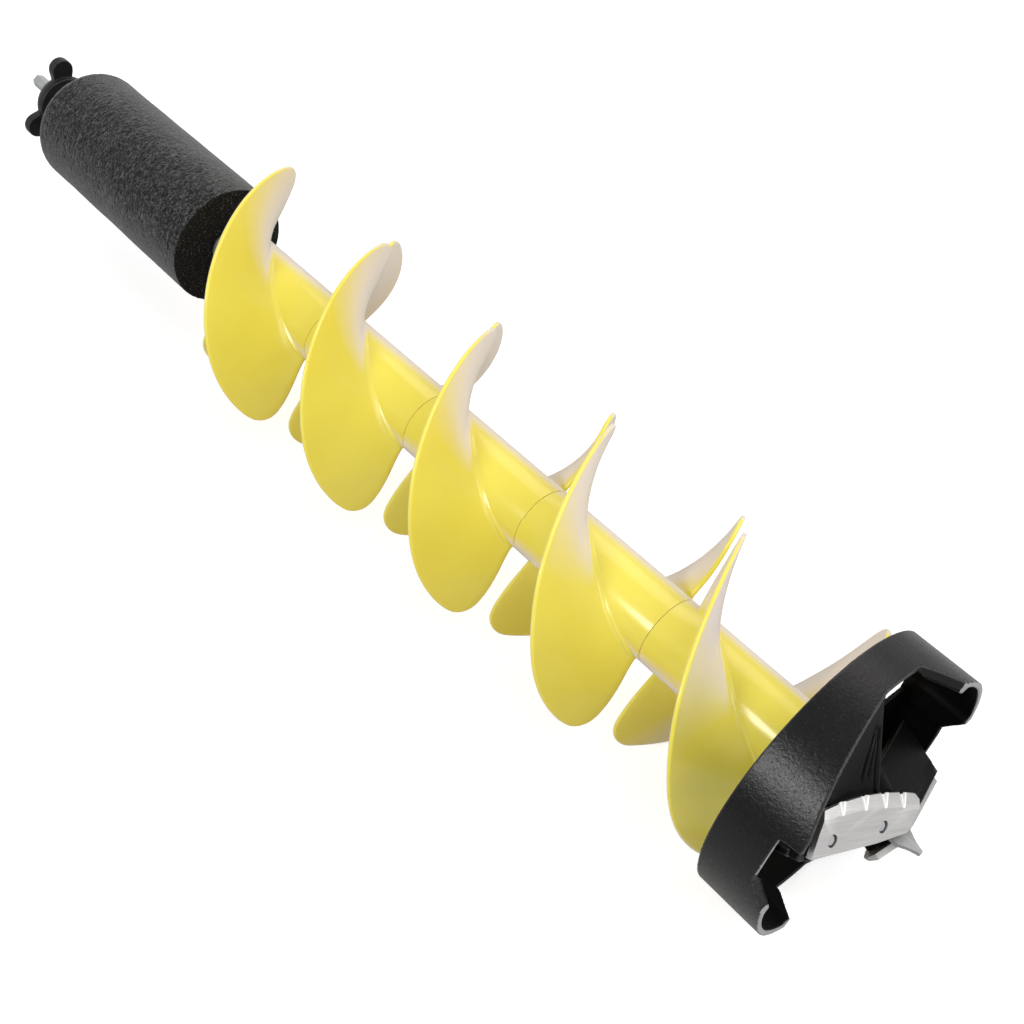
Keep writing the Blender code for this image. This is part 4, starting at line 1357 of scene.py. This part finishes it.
for side in range(2):
    matrix = (HALF_TURN if side else Matrix.Identity(4)) @ BLADE_FRAME
    number = side + 1
    shape = moved(ground_blade(), matrix)
    materials = [blade_material(f"ground_stainless_{number}", matrix), GASH_STEEL_LIT_SIDE]
    blade = add(
        f"blade_{number}_ground", shape, materials, f"blade_{number}", smooth=20,
    )
    bevel_edges(blade, width=0.18 * MM, segments=2, degrees=30)
    for k, (x, y) in enumerate(BLADE_HOLES):
        node = f"blade_screw_{2 * side + k + 1}"
        screw = moved(blade_screw(x, y), matrix)
        add(node + "_zinc", screw, [ZINC], node, smooth=25)

# ------------------------------------------------------------ centre point, pin, cross bolt
# One side of the spade: x from X_HEAD and half width (mm).
SPADE_EDGE = [
    (64.0, 5.0), (66.0, 6.6), (73.0, 6.8), (75.5, 5.6), (78.0, 4.2), (81.0, 2.9),
    (84.0, 2.0), (86.7, 1.4),
]


def centre_point():
    """A round stem with a flat, pointed spade."""
    stem = cylinder(5.1 * MM, (X_HEAD + 42 * MM, 0, 0), (X_HEAD + 67 * MM, 0, 0), 48)
    stem = helper("stem", stem)
    outline = SPADE_EDGE + [(x, -y) for x, y in reversed(SPADE_EDGE)]
    spade = plate(outline, -1.8 * MM, 1.8 * MM)
    bmesh.ops.translate(spade, vec=(X_HEAD, 0, 0), verts=spade.verts)
    return combine(stem, [("UNION", helper("spade", spade))])


spade_steel = metal("spade_steel", base=(0.50, 0.50, 0.50), rough=0.30, stretch=(0.06, 1, 1))
point = add("centre_point_spade", centre_point(), [spade_steel], "centre_point")
bevel_edges(point, width=0.45 * MM, segments=2, degrees=40)

# These CAD pieces stay as they are, plated and with softened edges.
for node in ("centre_point_pin", "head_cross_bolt", "head_cross_nut"):
    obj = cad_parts[node]
    obj.data.materials.clear()
    obj.data.materials.append(ZINC)
    obj.data.shade_smooth()
    obj.data.set_sharp_from_angle(angle=math.radians(35))
    bevel_edges(obj, width=0.25 * MM, segments=2, degrees=35)


# ------------------------------------------------------------ stage
def floor_material():
    """Pale and slightly glowing to the camera, darker to every other ray."""
    kit = Kit("pale_floor")
    seen = kit.camera_ray()
    cloud = kit.fade(kit.noise(scale=3.0, detail=2.0, rough=0.5), start=0.3, end=0.7)
    pale = kit.mix(cloud, (0.70, 0.70, 0.70), (0.715, 0.715, 0.715))
    kit.set(
        Base_Color=kit.mix(seen, (0.42, 0.42, 0.42), pale),
        Roughness=0.8,
        Specular_IOR_Level=0.1,
        Emission_Color=(1, 1, 1, 1),
        Emission_Strength=kit.vary((seen, 0.46), base=0.08),
    )
    return kit.mat


def build_floor():
    shape = bmesh.new()
    bmesh.ops.create_grid(shape, x_segments=2, y_segments=2, size=6.0)
    floor = helper("floor", shape)
    floor.location = (0.5, 0, -HEAD_R - 0.4 * MM)
    floor.data.materials.append(floor_material())


def build_world():
    world = bpy.data.worlds.new("studio")
    bpy.context.scene.world = world
    nodes = Nodes(world, "Generated")
    direction = nodes.split(nodes.coord)
    sky = nodes.fade(direction["Z"], start=0.05, end=0.75, first=1.0, last=0.50)
    # The studio is dimmer low down on the near side, behind the camera.
    near = nodes.map_range(direction["Y"], -0.45, -0.85, 0.0, 1.0, interpolation="SMOOTHSTEP")
    low_down = nodes.map_range(direction["Z"], 0.50, 0.25, 0.0, 1.0, interpolation="SMOOTHSTEP")
    strength_change, full_strength = -0.62, 1.0
    dim = nodes.times(near, low_down)
    level = nodes.math("MULTIPLY_ADD", dim, strength_change, full_strength)
    # What the camera sees directly is plain and pale, like the floor.
    seen = nodes.camera_ray()
    background = nodes.tree.nodes["Background"]
    nodes.put(background.inputs["Color"], nodes.mix(seen, sky, (1.0, 1.0, 1.0)))
    nodes.put(background.inputs["Strength"], nodes.math("MAXIMUM", level, seen))


def area(name, place, target, size, power, colour=(1, 1, 1)):
    """A round area light aimed at a target."""
    data = bpy.data.lights.new(name, "AREA")
    data.shape, data.size, data.energy, data.color = "DISK", size, power, colour
    light = bpy.data.objects.new(name, data)
    light.location = place
    light.rotation_mode = "QUATERNION"
    light.rotation_quaternion = (Vector(target) - Vector(place)).to_track_quat("-Z", "Y")
    bpy.context.scene.collection.objects.link(light)


def build_camera():
    data = bpy.data.cameras.new("camera")
    data.lens, data.sensor_width = 48.13, 36.0
    data.clip_start, data.clip_end = 0.01, 50
    camera = bpy.data.objects.new("camera", data)
    right = Vector((0.6610, 0.7505, 0.0)).normalized()
    forward = Vector((-0.4697, 0.4137, -0.7800)).normalized()
    rotation = Matrix((right, right.cross(forward), -forward)).transposed()
    camera.matrix_world = Matrix.Translation((1.1611, -0.4164, 0.7658)) @ rotation.to_4x4()
    bpy.context.scene.collection.objects.link(camera)
    bpy.context.scene.camera = camera


build_floor()
build_world()
area("key", place=(0.62, -1.27, 1.06), target=(0.9, 0, 0), size=0.48, power=10.5)
area(
    "card", place=(-0.1, 1.55, 1.75), target=(0.5, 0, 0), size=1.8, power=15,
    colour=(1.0, 0.93, 0.91),
)
area(
    "end", place=(2.4, 0.8, 0.8), target=(0.6, 0, 0), size=1.8, power=11,
    colour=(1.0, 0.96, 0.95),
)
area("high_end", place=(1.75, 0.15, 1.85), target=(0.5, 0, 0), size=1.2, power=14.5)
build_camera()
bpy.context.scene.view_settings.view_transform = "Standard"

bpy.context.view_layer.update()
